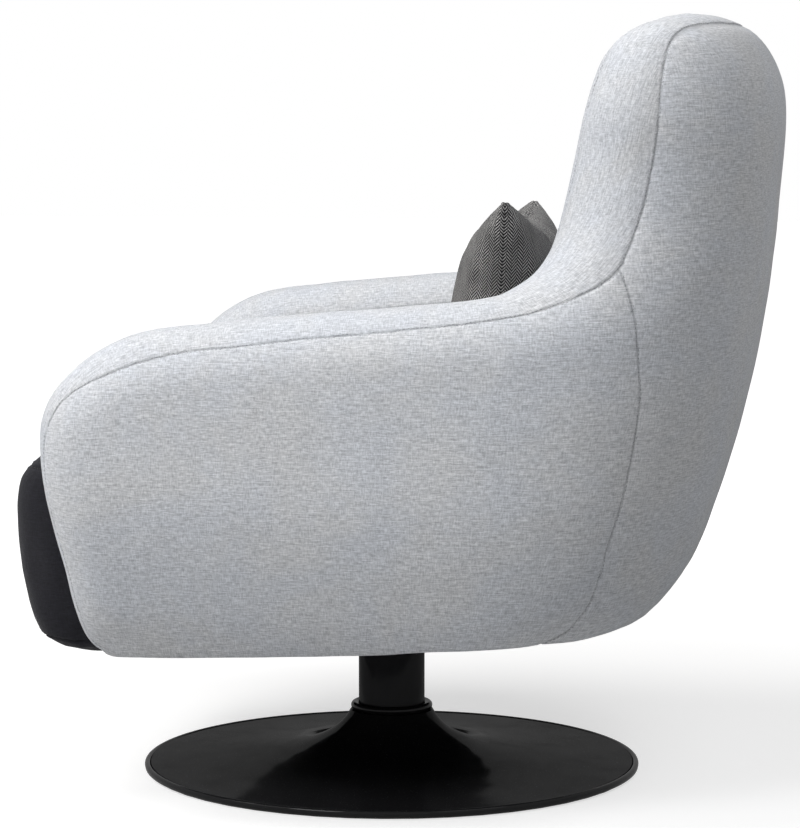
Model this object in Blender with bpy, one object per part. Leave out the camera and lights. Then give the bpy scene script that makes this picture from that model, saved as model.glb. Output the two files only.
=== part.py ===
"""Swivel armchair: an upholstered tub on a turning column and a round base.

Lengths are metres, +Z is up, and the chair faces -Y.
The origin is on the floor, on the axis that the seat turns about.
"""

import math

import bmesh
import bpy
import numpy as np
from mathutils import Euler, Vector

# Clearances
GAP = 0.0003
OVERRUN = 0.02

# Round base
BASE_RADIUS = 0.285
BASE_HEIGHT = 0.0665
BASE_WALL = 0.002
RIM_HEIGHT = 0.0095
NECK_SHARE = 0.90
PAD_THICKNESS = 0.002
PAD_INSET = 0.005
BALLAST_THICKNESS = 0.006
BALLAST_RADIUS = 0.21
TRUMPET_SHARES = (
    (0.166, 1.0), (0.187, 0.86), (0.219, 0.71), (0.267, 0.57), (0.333, 0.445),
    (0.421, 0.35), (0.544, 0.267), (0.702, 0.199), (0.877, 0.151), (0.975, 0.13),
)

# Column
COLUMN_RADIUS = 0.038
COLUMN_WALL = 0.003
COLUMN_TOP = 0.193
COLLAR_RADIUS = 0.047
COLLAR_HEIGHT = 0.0090
PLUG_HEIGHT = 0.022

# Foot clamp
CLAMP_BOLT_RADIUS = 0.005
CLAMP_HEAD_RADIUS = 0.0095
CLAMP_HEAD_HEIGHT = 0.0032
CLAMP_WASHER_RADIUS = 0.013
CLAMP_WASHER_THICKNESS = 0.0012
CLAMP_THREAD_LENGTH = 0.014

# Swivel bearing
SPINDLE_RADIUS = 0.014
SPINDLE_LENGTH = 0.140
SPINDLE_FLANGE_RADIUS = 0.030
SPINDLE_FLANGE_THICKNESS = 0.005
BUSH_HEIGHT = 0.028
BUSH_LIP = 0.003
BUSH_SEAT_HEIGHT = 0.075
THRUST_THICKNESS = 0.0015
THRUST_RADIUS = 0.034
CLIP_THICKNESS = 0.0015
CLIP_WIDTH = 0.005
GROOVE_DEPTH = 0.0015
CLIP_OPENING_SHARE = 0.16

# Swivel plate and its fasteners
PLATE_HALF = 0.090
PLATE_THICKNESS = 0.004
PLATE_CORNER = 0.012
BOLT_PITCH_HALF = 0.065
BOLT_RADIUS = 0.004
BOLT_HEAD_RADIUS = 0.0072
BOLT_HEAD_HEIGHT = 0.004
NUT_FLANGE_RADIUS = 0.012
NUT_FLANGE_THICKNESS = 0.0015
NUT_BARREL_RADIUS = 0.0058
NUT_BARREL_LENGTH = 0.009

# Seat frame
RAIL_THICKNESS = 0.025
RAIL_HEIGHT = 0.084
CROSS_RAIL_WIDTH = 0.060
CROSS_RAIL_HEIGHT = 0.030
FRAME_HALF_WIDTH = 0.2997
FRAME_FRONT = -0.2450
FRAME_REAR_INSET = 0.0018
DUST_THICKNESS = 0.0015
DUST_INSET = 0.001

# Seat springs
SPRING_COUNT = 4
SPRING_WIRE = 0.0019
SPRING_HALF_WIDTH = 0.024
SPRING_PITCH = 0.034
SPRING_SPACING = 0.115
SPRING_TURN_SHARES = (0.3, 0.7)
CLIP_STRIP_WIDTH = 0.030
CLIP_SHEET = 0.0010
FELT_THICKNESS = 0.0030
FELT_MARGIN = 0.004

# Arm boards
BOARD_THICKNESS = 0.022
BOARD_FRONT = -0.250
BOARD_REAR = 0.130
BOARD_TOP_FRONT = 0.485
BOARD_TOP_REAR = 0.500
BOARD_NOSE = 0.070
BOARD_DROP = 0.005

# Back frame
POST_LIFT = 0.013
POST_WIDTH = 0.028
POST_DEPTH = 0.040
POST_OFFSET = 0.150
POST_TOP = 0.790
POST_BEND = 0.290
POST_LEAN = 0.112
BACK_RAIL_HEIGHT = 0.050
BACK_RAIL_THICKNESS = 0.022
BACK_MID_RAIL_LEVEL = 0.470

# Upholstered tub
TUB_UNDER = 0.1745
TUB_TOP = 0.8605
TUB_HALF_WIDTH = 0.400
TUB_REAR = 0.4422
TUB_ARM_START = 0.060
TUB_FRONT = -0.321
UNDER_RISE = 0.0315
ROLL_LIMIT = 0.085
SPLIT_GAP = 0.0008
OUTER_SQUARENESS = 3.0
INNER_SQUARENESS = 4.5
ROLL_FULLNESS = 2.1
ROLL_SHARE = 1.05
REFERENCE_SHARE = 0.4746
ARM_NOSE_SHARE = 0.385
SHOULDER_SHARE = 0.545
# Each pair is a share of the tub's height and a share of its half width or rear reach.
OUTER_WIDTH_SHARES = (
    (0, 0.845), (0.0676, 0.93), (0.1271, 0.968), (0.2264, 1.0), (0.3455, 0.998),
    (0.4647, 0.985), (0.5639, 0.975), (0.7526, 0.97), (1.0, 0.95),
)
OUTER_REAR_SHARES = (
    (0, 0.59), (0.0378, 0.683), (0.0809, 0.749), (0.1436, 0.8025), (0.2063, 0.838),
    (0.3258, 0.8912), (0.4643, 0.94), (0.5634, 0.964), (0.7194, 0.988), (0.855, 1.0),
    (0.905, 0.9935), (0.95, 0.9855), (1.0, 0.98),
)
INNER_WIDTH_SHARES = (
    (0, 0.68), (0.5044, 0.68), (0.6235, 0.7), (0.8022, 0.76), (1.0, 0.8),
)
INNER_REAR_SHARES = (
    (0, 0.4677), (0.3257, 0.4677), (0.4746, 0.4816), (0.6235, 0.5154), (0.7625, 0.5552),
    (0.9114, 0.6089), (1.0, 0.6368),
)
# The tub's lower edge: shares of the wall's whole run and of the rise towards the back.
UNDER_SHARES = (
    (0, 1.0), (0.2, 0.95), (0.385, 0.84), (0.458, 0.76), (0.532, 0.64), (0.637, 0.45), (0.75, 0.30), (0.875, 0.14),
    (1, 0),
)
# The tub's upper edge: shares of the arm's length forward of the corner, then of the corner's run.
ARM_EDGE_SHARES = (
    (0.7874, 0.0069), (0.8294, 0.0102), (0.8622, 0.0197), (0.8858, 0.035), (0.916, 0.0904),
    (0.9357, 0.1465), (0.9606, 0.2019), (0.9843, 0.2587), (0.9974, 0.3214), (0.9934, 0.3724),
    (0.9619, 0.4169), (0.879, 0.4665), (0.7399, 0.508), (0.5039, 0.5287), (0.2231, 0.544),
    (0.0199, 0.5531),
)
CORNER_EDGE_SHARES = (
    (0.81, 0.5719), (0.756, 0.5857), (0.69, 0.6185), (0.636, 0.6786), (0.605, 0.766),
    (0.593, 0.8538), (0.561, 0.9233), (0.509, 0.9745), (0.4, 0.9949), (0.2, 0.9993),
    (0, 0.9993),
)
# The joint between arm and back, in shares of the corner's run and the tub's height.
SPLIT_SHARES = (
    (0.600, 0.0), (0.585, 0.2066), (0.590, 0.4448), (0.620, 0.5739), (0.640, 0.6086), (0.665, 0.6430),
)

# Seat cushion
CUSHION_FRONT = -0.382
CUSHION_UNDER = 0.170
CUSHION_EDGE = 0.382
CUSHION_CROWN = 0.032
CUSHION_CORNER = 0.045
CUSHION_SIDE_CLEARANCE = 0.0025
CUSHION_CENTRE = -0.085
CUSHION_SQUARENESS = 3
CUSHION_FULLNESS = 0.8
CUSHION_HALF_WIDTH_SHARE = 0.665
CUSHION_RING_SHARES = (0.93, 0.82, 0.66, 0.44, 0.20)
# Level as a share of the cushion's edge height, and how far it is drawn in as a share of the corner radius.
CUSHION_LEVEL_SHARES = (
    (0.0, 1.0), (0.042, 0.68), (0.075, 0.50), (0.118, 0.41), (0.18, 0.29), (0.283, 0.20), (0.387, 0.124),
    (0.594, 0.035), (0.75, 0.0), (0.854, 0.047), (0.906, 0.127), (0.953, 0.32), (1.0, 0.56),
)

# Lumbar pillow
PILLOW_WIDTH = 0.430
PILLOW_HEIGHT = 0.270
PILLOW_DEPTH = 0.155
PILLOW_LEAN = math.radians(9)
PILLOW_TURN = math.radians(5.5)
PILLOW_CLEARANCE = 0.0006
PILLOW_DRAW_SHARE = 0.10
PILLOW_FULLNESS = 0.42

# Facets
ROUND_SEGMENTS = 48
SMALL_SEGMENTS = 24
BOLT_SEGMENTS = 16
JOINT_ROWS = 14
ARM_COLUMNS = 22
BACK_COLUMNS = 11
BACK_UPPER_ROWS = 9
NET_CROWDING = 1.5
JOINT_CROWDING = 0.8
CUSHION_REAR_STEPS = 12
CUSHION_NOSE_STEPS = 6
PILLOW_COLUMNS = 19
PILLOW_ROWS = 15
PILLOW_SETTLES = 4
SHARP_HARD = math.radians(35)
SHARP_WALL = math.radians(50)
SHARP_CUSHION = math.radians(60)
SHARP_PILLOW = math.radians(80)
EDGE_SAMPLES = 900
RUN_SAMPLES = 401

# Levels and places worked out from the sizes above
FRAME_REAR = TUB_REAR * INNER_REAR_SHARES[0][1] - FRAME_REAR_INSET
TUB_HEIGHT = TUB_TOP - TUB_UNDER
ARM_LENGTH = TUB_ARM_START - TUB_FRONT
REFERENCE_LEVEL = TUB_UNDER + REFERENCE_SHARE * TUB_HEIGHT
BALLAST_UNDER = PAD_THICKNESS + GAP
BALLAST_TOP = BALLAST_UNDER + BALLAST_THICKNESS
TUBE_UNDER = BALLAST_TOP + GAP
BORE_RADIUS = COLUMN_RADIUS - COLUMN_WALL
BUSH_RADIUS = BORE_RADIUS - GAP
SHAFT_BORE = SPINDLE_RADIUS + GAP
UPPER_BUSH_TOP = COLUMN_TOP + GAP + BUSH_LIP
THRUST_UNDER = UPPER_BUSH_TOP + GAP
FLANGE_UNDER = THRUST_UNDER + THRUST_THICKNESS + GAP
FLANGE_TOP = FLANGE_UNDER + SPINDLE_FLANGE_THICKNESS
PLATE_UNDER = FLANGE_TOP + GAP
PLATE_TOP = PLATE_UNDER + PLATE_THICKNESS
FRAME_UNDER = PLATE_TOP + GAP
FRAME_TOP = FRAME_UNDER + RAIL_HEIGHT
CROSS_RAIL_TOP = FRAME_UNDER + CROSS_RAIL_HEIGHT
WIRE_LEVEL = FRAME_TOP + 3 * GAP + CLIP_SHEET + SPRING_WIRE
FELT_UNDER = WIRE_LEVEL + SPRING_WIRE + GAP
FELT_TOP = FELT_UNDER + FELT_THICKNESS
CUSHION_SEAT = FELT_TOP + GAP
BAY_HALF_WIDTH = FRAME_HALF_WIDTH + GAP
BAY_FRONT = FRAME_FRONT - GAP
BAY_REAR = FRAME_REAR + GAP
BAY_TOP = FRAME_TOP + GAP
POST_FRONT = FRAME_REAR + GAP
POST_UNDER = FRAME_UNDER + POST_LIFT

# Finishes: colour, roughness and metallic
LIGHT_LINEN = ((0.56, 0.58, 0.61), 0.92, 0.0)
CHARCOAL_CLOTH = ((0.035, 0.036, 0.042), 0.9, 0.0)
TWEED = ((0.10, 0.10, 0.105), 0.92, 0.0)
BLACK_GLOSS = ((0.008, 0.008, 0.009), 0.12, 0.0)
CAST_GREY = ((0.11, 0.11, 0.115), 0.55, 0.6)
ZINC = ((0.60, 0.61, 0.63), 0.32, 1.0)
SPRING_STEEL = ((0.30, 0.30, 0.31), 0.38, 1.0)
NYLON = ((0.72, 0.71, 0.66), 0.45, 0.0)
BEECH = ((0.55, 0.38, 0.22), 0.6, 0.0)
PLYWOOD = ((0.62, 0.47, 0.30), 0.65, 0.0)
BLACK_FELT = ((0.03, 0.03, 0.032), 0.95, 0.0)
GREY_FELT = ((0.20, 0.19, 0.18), 0.95, 0.0)
FOAM_PAD = ((0.05, 0.05, 0.05), 0.8, 0.0)


def clear_objects():
    """Removes what the opening file holds."""
    for old in list(bpy.data.objects):
        bpy.data.objects.remove(old, do_unlink=True)


def finish(name, look):
    """A material of one colour, roughness and metallic value."""
    colour, roughness, metallic = look
    material = bpy.data.materials.new(name)
    material.use_nodes = True
    shader = material.node_tree.nodes["Principled BSDF"]
    shader.inputs["Base Color"].default_value = (*colour, 1)
    shader.inputs["Roughness"].default_value = roughness
    shader.inputs["Metallic"].default_value = metallic
    return material


def add(name, mesh, look, parent=None, sharp=SHARP_HARD):
    """An object of that mesh, shaded smooth but for its sharp edges."""
    mesh.materials.append(finish(name + "_finish", look))
    mesh.shade_smooth()
    mesh.set_sharp_from_angle(angle=sharp)
    made = bpy.data.objects.new(name, mesh)
    bpy.context.scene.collection.objects.link(made)
    made.parent = parent
    return made


def mesh_of(name, points, faces):
    """A mesh whose faces are turned to point out."""
    mesh = bpy.data.meshes.new(name)
    mesh.from_pydata([tuple(map(float, p)) for p in points], [], faces)
    form = bmesh.new()
    form.from_mesh(mesh)
    bmesh.ops.recalc_face_normals(form, faces=form.faces)
    if form.calc_volume(signed=True) < 0:
        bmesh.ops.reverse_faces(form, faces=form.faces)
    form.to_mesh(mesh)
    form.free()
    return mesh


def turned(name, profile, segments):
    """A closed profile of (radius, height) points, turned about Z. Points on the axis become poles."""
    points, rings = [], []
    for radius, height in profile:
        if radius == 0:
            rings.append([len(points)] * segments)
            points.append((0, 0, height))
            continue
        rings.append(list(range(len(points), len(points) + segments)))
        for step in range(segments):
            angle = 2 * math.pi * step / segments
            points.append((radius * math.cos(angle), radius * math.sin(angle), height))
    faces = []
    for here, there in zip(rings, rings[1:] + rings[:1]):
        for step in range(segments):
            after = (step + 1) % segments
            corners = [here[step], here[after], there[after], there[step]]
            face = list(dict.fromkeys(corners))
            if len(face) > 2:
                faces.append(face)
    return mesh_of(name, points, faces)


def block(name, low, high):
    """A box between two corners."""
    points = [(x, y, z) for x in (low[0], high[0]) for y in (low[1], high[1]) for z in (low[2], high[2])]
    faces = [(0, 1, 3, 2), (4, 5, 7, 6), (0, 1, 5, 4), (2, 3, 7, 6), (0, 2, 6, 4), (1, 3, 7, 5)]
    return mesh_of(name, points, faces)


def slab(name, outline, low, high, axis="z"):
    """A flat outline extruded from low to high along one axis. The outline's points are in the other two."""
    place = {
        "x": lambda a, b, t: (t, a, b),
        "y": lambda a, b, t: (a, t, b),
        "z": lambda a, b, t: (a, b, t),
    }[axis]
    count = len(outline)
    points = [place(a, b, low) for a, b in outline] + [place(a, b, high) for a, b in outline]
    faces = [tuple(range(count)), tuple(range(count, 2 * count))]
    for step in range(count):
        after = (step + 1) % count
        faces.append((step, after, count + after, count + step))
    return mesh_of(name, points, faces)


def grown(outline, margin):
    """An outline moved outwards by a margin, corner by corner. It runs anticlockwise."""
    count = len(outline)
    moved = []
    for step in range(count):
        before = np.array(outline[step - 1])
        here = np.array(outline[step])
        after = np.array(outline[(step + 1) % count])
        into = (here - before) / np.linalg.norm(here - before)
        out = (after - here) / np.linalg.norm(after - here)
        normal = np.array((into[1] + out[1], -into[0] - out[0]))
        normal = normal / np.linalg.norm(normal)
        reach = margin / float(np.dot(normal, (into[1], -into[0])))
        moved.append(tuple(here + normal * reach))
    return moved


def circle(radius, segments, centre=(0, 0)):
    """Points of a regular outline, anticlockwise."""
    turns = [2 * math.pi * step / segments for step in range(segments)]
    return [(centre[0] + radius * math.cos(t), centre[1] + radius * math.sin(t)) for t in turns]


def cut(body, mesh):
    """Takes a hidden cutter away from a body."""
    cutter = bpy.data.objects.new(body.name + "_cutter", mesh)
    bpy.context.scene.collection.objects.link(cutter)
    cutter.hide_render = True
    cutter.display_type = "WIRE"
    modifier = body.modifiers.new("cut", "BOOLEAN")
    modifier.operation = "DIFFERENCE"
    modifier.solver = "EXACT"
    modifier.object = cutter
    return cutter


# Round base and column

def floor_pad():
    """A thin sheet under the ballast plate, flat on the floor."""
    radius = BASE_RADIUS - PAD_INSET
    return add("floor_pad", turned("floor_pad", (
        (0, 0), (radius, 0), (radius, PAD_THICKNESS), (0, PAD_THICKNESS),
    ), ROUND_SEGMENTS), FOAM_PAD)


def trumpet_outline():
    """The base's outer skin from the neck to the rim."""
    flare = [(BASE_RADIUS * r, BASE_HEIGHT * h) for r, h in TRUMPET_SHARES]
    edge = RIM_HEIGHT - BASE_WALL
    return flare + [
        (BASE_RADIUS - BASE_WALL / 4, edge),
        (BASE_RADIUS, edge - BASE_WALL),
        (BASE_RADIUS, PAD_THICKNESS + BASE_WALL / 2),
        (BASE_RADIUS - BASE_WALL / 2, PAD_THICKNESS + GAP),
    ]


def base_shell():
    """A spun sheet that flares from the neck to a turned-down rim."""
    skin = trumpet_outline()
    count = len(TRUMPET_SHARES)
    inner = [(BASE_RADIUS - 2 * BASE_WALL, PAD_THICKNESS + GAP)]
    inner.append((BASE_RADIUS - 2 * BASE_WALL, skin[count - 1][1] - 2 * BASE_WALL))
    for step in range(count - 2, 0, -1):
        run = np.array(skin[step + 1]) - np.array(skin[step - 1])
        run = run / np.linalg.norm(run)
        radius, height = skin[step]
        inner.append((radius + run[1] * BASE_WALL, height - run[0] * BASE_WALL))
    inner.append((COLUMN_RADIUS + GAP, BASE_HEIGHT * NECK_SHARE))
    inner.append((COLUMN_RADIUS + GAP, BASE_HEIGHT))
    return add("base_shell", turned("base_shell", skin + inner, ROUND_SEGMENTS), BLACK_GLOSS)


def collar_ring():
    """A rounded bead between the column and the base's neck."""
    under = BASE_HEIGHT + GAP
    bore = COLUMN_RADIUS + GAP
    bulge = COLLAR_HEIGHT / 3
    return add("collar_ring", turned("collar_ring", (
        (bore, under), (COLLAR_RADIUS - bulge, under), (COLLAR_RADIUS, under + bulge),
        (COLLAR_RADIUS, under + COLLAR_HEIGHT - bulge), (COLLAR_RADIUS - bulge, under + COLLAR_HEIGHT),
        (bore, under + COLLAR_HEIGHT),
    ), SMALL_SEGMENTS * 2), BLACK_GLOSS)


def ballast_plate():
    """A steel disc that keeps the chair upright, with a stepped hole for the clamp bolt."""
    step = BALLAST_UNDER + CLAMP_HEAD_HEIGHT + CLAMP_WASHER_THICKNESS + 2 * GAP
    return add("ballast_plate", turned("ballast_plate", (
        (CLAMP_WASHER_RADIUS + GAP, BALLAST_UNDER), (BALLAST_RADIUS, BALLAST_UNDER),
        (BALLAST_RADIUS, BALLAST_TOP), (CLAMP_BOLT_RADIUS + GAP, BALLAST_TOP),
        (CLAMP_BOLT_RADIUS + GAP, step), (CLAMP_WASHER_RADIUS + GAP, step),
    ), ROUND_SEGMENTS), CAST_GREY)


def clamp_washer():
    """The washer under the clamp bolt's head."""
    under = BALLAST_UNDER + CLAMP_HEAD_HEIGHT + GAP
    top = under + CLAMP_WASHER_THICKNESS
    bore = CLAMP_BOLT_RADIUS + GAP
    return add("clamp_washer", turned("clamp_washer", (
        (bore, under), (CLAMP_WASHER_RADIUS, under), (CLAMP_WASHER_RADIUS, top), (bore, top),
    ), SMALL_SEGMENTS), ZINC)


def clamp_bolt():
    """The bolt that draws the column's plug down on the ballast plate."""
    under = BALLAST_UNDER
    shoulder = under + CLAMP_HEAD_HEIGHT
    tip = TUBE_UNDER + CLAMP_THREAD_LENGTH
    point = CLAMP_BOLT_RADIUS / 4
    return add("clamp_bolt", turned("clamp_bolt", (
        (0, under), (CLAMP_HEAD_RADIUS, under), (CLAMP_HEAD_RADIUS, shoulder),
        (CLAMP_BOLT_RADIUS, shoulder), (CLAMP_BOLT_RADIUS, tip - point),
        (CLAMP_BOLT_RADIUS - point, tip), (0, tip),
    ), SMALL_SEGMENTS), ZINC)


def column_plug():
    """The plug in the column's foot, with a threaded hole for the clamp bolt."""
    radius = BORE_RADIUS - GAP
    bore = CLAMP_BOLT_RADIUS + GAP
    top = TUBE_UNDER + PLUG_HEIGHT
    return add("column_plug", turned("column_plug", (
        (bore, TUBE_UNDER), (radius, TUBE_UNDER), (radius, top), (bore, top),
    ), SMALL_SEGMENTS), CAST_GREY)


def column_tube():
    """The upright tube."""
    return add("column_tube", turned("column_tube", (
        (BORE_RADIUS, TUBE_UNDER), (COLUMN_RADIUS, TUBE_UNDER),
        (COLUMN_RADIUS, COLUMN_TOP), (BORE_RADIUS, COLUMN_TOP),
    ), SMALL_SEGMENTS * 2), BLACK_GLOSS)


def lower_bush():
    """The plain bush that steadies the spindle's lower end."""
    top = BUSH_SEAT_HEIGHT + BUSH_HEIGHT
    return add("lower_bush", turned("lower_bush", (
        (SHAFT_BORE, BUSH_SEAT_HEIGHT), (BUSH_RADIUS, BUSH_SEAT_HEIGHT), (BUSH_RADIUS, top),
        (SHAFT_BORE, top),
    ), SMALL_SEGMENTS), NYLON)


def upper_bush():
    """The lipped bush in the column's mouth."""
    foot = COLUMN_TOP - BUSH_HEIGHT
    lip = COLUMN_TOP + GAP
    return add("upper_bush", turned("upper_bush", (
        (SHAFT_BORE, foot), (BUSH_RADIUS, foot), (BUSH_RADIUS, lip), (COLUMN_RADIUS, lip),
        (COLUMN_RADIUS, UPPER_BUSH_TOP), (SHAFT_BORE, UPPER_BUSH_TOP),
    ), SMALL_SEGMENTS), NYLON)


def thrust_washer():
    """The hard washer that the seat's weight turns on."""
    top = THRUST_UNDER + THRUST_THICKNESS
    return add("thrust_washer", turned("thrust_washer", (
        (SHAFT_BORE, THRUST_UNDER), (THRUST_RADIUS, THRUST_UNDER), (THRUST_RADIUS, top), (SHAFT_BORE, top),
    ), SMALL_SEGMENTS), ZINC)


# Swivel parts that turn with the seat

def spindle(seat):
    """The shaft under the swivel plate, with a flange above and a groove below the lower bush."""
    foot = FLANGE_UNDER - SPINDLE_LENGTH
    waist = SPINDLE_RADIUS - GROOVE_DEPTH
    groove_top = BUSH_SEAT_HEIGHT - GAP
    groove_foot = groove_top - CLIP_THICKNESS - 2 * GAP
    point = SPINDLE_RADIUS / 7
    return add("spindle", turned("spindle", (
        (0, foot), (SPINDLE_RADIUS - point, foot), (SPINDLE_RADIUS, foot + point),
        (SPINDLE_RADIUS, groove_foot), (waist, groove_foot), (waist, groove_top),
        (SPINDLE_RADIUS, groove_top), (SPINDLE_RADIUS, FLANGE_UNDER),
        (SPINDLE_FLANGE_RADIUS, FLANGE_UNDER), (SPINDLE_FLANGE_RADIUS, FLANGE_TOP), (0, FLANGE_TOP),
    ), SMALL_SEGMENTS), ZINC, seat)


def retaining_clip(seat):
    """An open ring in the spindle's groove that keeps the seat on its column."""
    inner = SPINDLE_RADIUS - GROOVE_DEPTH + GAP
    outer = inner + CLIP_WIDTH
    mouth = CLIP_OPENING_SHARE * math.pi
    turns = [mouth + (2 * math.pi - 2 * mouth) * step / SMALL_SEGMENTS for step in range(SMALL_SEGMENTS + 1)]
    outline = [(outer * math.cos(t), outer * math.sin(t)) for t in turns]
    outline += [(inner * math.cos(t), inner * math.sin(t)) for t in reversed(turns)]
    top = BUSH_SEAT_HEIGHT - 2 * GAP
    return add("retaining_clip", slab("retaining_clip", outline, top - CLIP_THICKNESS, top), SPRING_STEEL, seat)


def bolt_places():
    """The four holes of the swivel plate."""
    return [(x, y) for y in (-BOLT_PITCH_HALF, BOLT_PITCH_HALF) for x in (-BOLT_PITCH_HALF, BOLT_PITCH_HALF)]


def rounded_square(half, corner, steps=4):
    """A square outline with round corners, anticlockwise."""
    outline = []
    for quarter in range(4):
        turn = math.pi / 2 * quarter
        reach = (half - corner) * math.sqrt(2)
        centre = (reach * math.cos(turn + math.pi / 4), reach * math.sin(turn + math.pi / 4))
        for step in range(steps + 1):
            angle = turn + math.pi / 2 * step / steps
            outline.append((centre[0] + corner * math.cos(angle), centre[1] + corner * math.sin(angle)))
    return outline


def swivel_plate(seat):
    """The steel plate that the seat frame is bolted to."""
    outline = rounded_square(PLATE_HALF, PLATE_CORNER)
    plate = add("swivel_plate", slab("swivel_plate", outline, PLATE_UNDER, PLATE_TOP), BLACK_GLOSS, seat)
    for place in bolt_places():
        hole = circle(BOLT_RADIUS + GAP, BOLT_SEGMENTS, place)
        cut(plate, slab("hole", hole, PLATE_UNDER - OVERRUN, PLATE_TOP + OVERRUN))
    return plate


def plate_bolts(seat):
    """Four bolts from below through the plate and the cross rails into tee nuts."""
    tip = CROSS_RAIL_TOP + NUT_FLANGE_THICKNESS
    under = PLATE_UNDER - GAP - BOLT_HEAD_HEIGHT
    for number, (x, y) in enumerate(bolt_places(), 1):
        name = f"plate_bolt_{number}"
        bolt = add(name, turned(name, (
            (0, under), (BOLT_HEAD_RADIUS, under), (BOLT_HEAD_RADIUS, under + BOLT_HEAD_HEIGHT),
            (BOLT_RADIUS, under + BOLT_HEAD_HEIGHT), (BOLT_RADIUS, tip), (0, tip),
        ), BOLT_SEGMENTS), ZINC, seat)
        bolt.location = (x, y, 0)


def tee_nuts(seat):
    """Four flanged nuts let into the cross rails from above."""
    under = CROSS_RAIL_TOP + GAP - NUT_BARREL_LENGTH
    flange = CROSS_RAIL_TOP + GAP
    top = flange + NUT_FLANGE_THICKNESS
    bore = BOLT_RADIUS + GAP
    for number, (x, y) in enumerate(bolt_places(), 1):
        name = f"tee_nut_{number}"
        nut = add(name, turned(name, (
            (bore, under), (NUT_BARREL_RADIUS, under), (NUT_BARREL_RADIUS, flange),
            (NUT_FLANGE_RADIUS, flange), (NUT_FLANGE_RADIUS, top), (bore, top),
        ), BOLT_SEGMENTS), ZINC, seat)
        nut.location = (x, y, 0)


# Seat frame

def cross_rails(seat):
    """Two rails over the swivel plate, one before and one behind the column."""
    reach = FRAME_HALF_WIDTH - RAIL_THICKNESS - GAP
    for name, middle in (("cross_rail_front", -BOLT_PITCH_HALF), ("cross_rail_rear", BOLT_PITCH_HALF)):
        low = (-reach, middle - CROSS_RAIL_WIDTH / 2, FRAME_UNDER)
        high = (reach, middle + CROSS_RAIL_WIDTH / 2, CROSS_RAIL_TOP)
        rail = add(name, block(name, low, high), BEECH, seat)
        for x, y in bolt_places():
            if y == middle:
                hole = circle(NUT_BARREL_RADIUS + GAP, BOLT_SEGMENTS, (x, y))
                cut(rail, slab("hole", hole, FRAME_UNDER - OVERRUN, CROSS_RAIL_TOP + OVERRUN))


def seat_rails(seat):
    """The four rails of the seat frame."""
    wide = FRAME_HALF_WIDTH
    front = FRAME_FRONT + RAIL_THICKNESS
    rear = FRAME_REAR - RAIL_THICKNESS
    inside = wide - RAIL_THICKNESS
    places = {
        "front_rail": ((-wide, FRAME_FRONT), (wide, front)),
        "rear_rail": ((-wide, rear), (wide, FRAME_REAR)),
        "side_rail_left": ((inside, front + GAP), (wide, rear - GAP)),
        "side_rail_right": ((-wide, front + GAP), (-inside, rear - GAP)),
    }
    for name, (low, high) in places.items():
        add(name, block(name, (*low, FRAME_UNDER), (*high, FRAME_TOP)), BEECH, seat)


def dust_cover(seat):
    """The black cloth under the frame, open round the swivel plate."""
    top = FRAME_UNDER - GAP
    wide = FRAME_HALF_WIDTH - DUST_INSET
    low = (-wide, FRAME_FRONT + DUST_INSET, top - DUST_THICKNESS)
    high = (wide, FRAME_REAR - DUST_INSET, top)
    cover = add("dust_cover", block("dust_cover", low, high), BLACK_FELT, seat)
    opening = rounded_square(PLATE_HALF + GAP, PLATE_CORNER + GAP)
    cut(cover, slab("opening", opening, top - OVERRUN, top + OVERRUN))
    return cover


def arm_board_outline():
    """The board inside an arm, seen from the side."""
    under = FRAME_UNDER - BOARD_DROP
    return [
        (BOARD_FRONT + BOARD_NOSE / 4, under), (BOARD_REAR, under), (BOARD_REAR, BOARD_TOP_REAR),
        (BOARD_FRONT + BOARD_NOSE, BOARD_TOP_FRONT), (BOARD_FRONT, BOARD_TOP_FRONT - BOARD_NOSE),
    ]


def arm_boards(seat):
    """A plywood board stands against each side rail and carries the arm."""
    near = FRAME_HALF_WIDTH + GAP
    far = near + BOARD_THICKNESS
    for name, low, high in (("arm_board_left", near, far), ("arm_board_right", -far, -near)):
        add(name, slab(name, arm_board_outline(), low, high, "x"), PLYWOOD, seat)


def post_outline():
    """A back post from the side: upright at the rear rail, then leaning back."""
    rear = POST_FRONT + POST_DEPTH
    return [
        (POST_FRONT, POST_UNDER), (rear, POST_UNDER), (rear, POST_BEND),
        (rear + POST_LEAN, POST_TOP), (POST_FRONT + POST_LEAN, POST_TOP), (POST_FRONT, POST_BEND),
    ]


def post_front_at(level):
    """Where a post's front face lies at a level above its bend."""
    return POST_FRONT + POST_LEAN * (level - POST_BEND) / (POST_TOP - POST_BEND)


def back_frame(seat):
    """Two posts on the rear rail, joined by a top and a middle rail."""
    for name, side in (("back_post_left", 1), ("back_post_right", -1)):
        low = side * POST_OFFSET - POST_WIDTH / 2
        add(name, slab(name, post_outline(), low, low + POST_WIDTH, "x"), BEECH, seat)
    reach = POST_OFFSET - POST_WIDTH / 2 - GAP
    inset = (POST_DEPTH - BACK_RAIL_THICKNESS) / 2
    for name, top in (("back_top_rail", POST_TOP), ("back_mid_rail", BACK_MID_RAIL_LEVEL)):
        under = top - BACK_RAIL_HEIGHT
        lower = post_front_at(under) + inset
        upper = post_front_at(top) + inset
        outline = [
            (lower, under), (lower + BACK_RAIL_THICKNESS, under),
            (upper + BACK_RAIL_THICKNESS, top), (upper, top),
        ]
        add(name, slab(name, outline, -reach, reach, "x"), BEECH, seat)


# Seat springs

def spring_rows():
    """How far across each spring lies."""
    middle = (SPRING_COUNT - 1) / 2
    return [(number + 1, (number - middle) * SPRING_SPACING) for number in range(SPRING_COUNT)]


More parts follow.
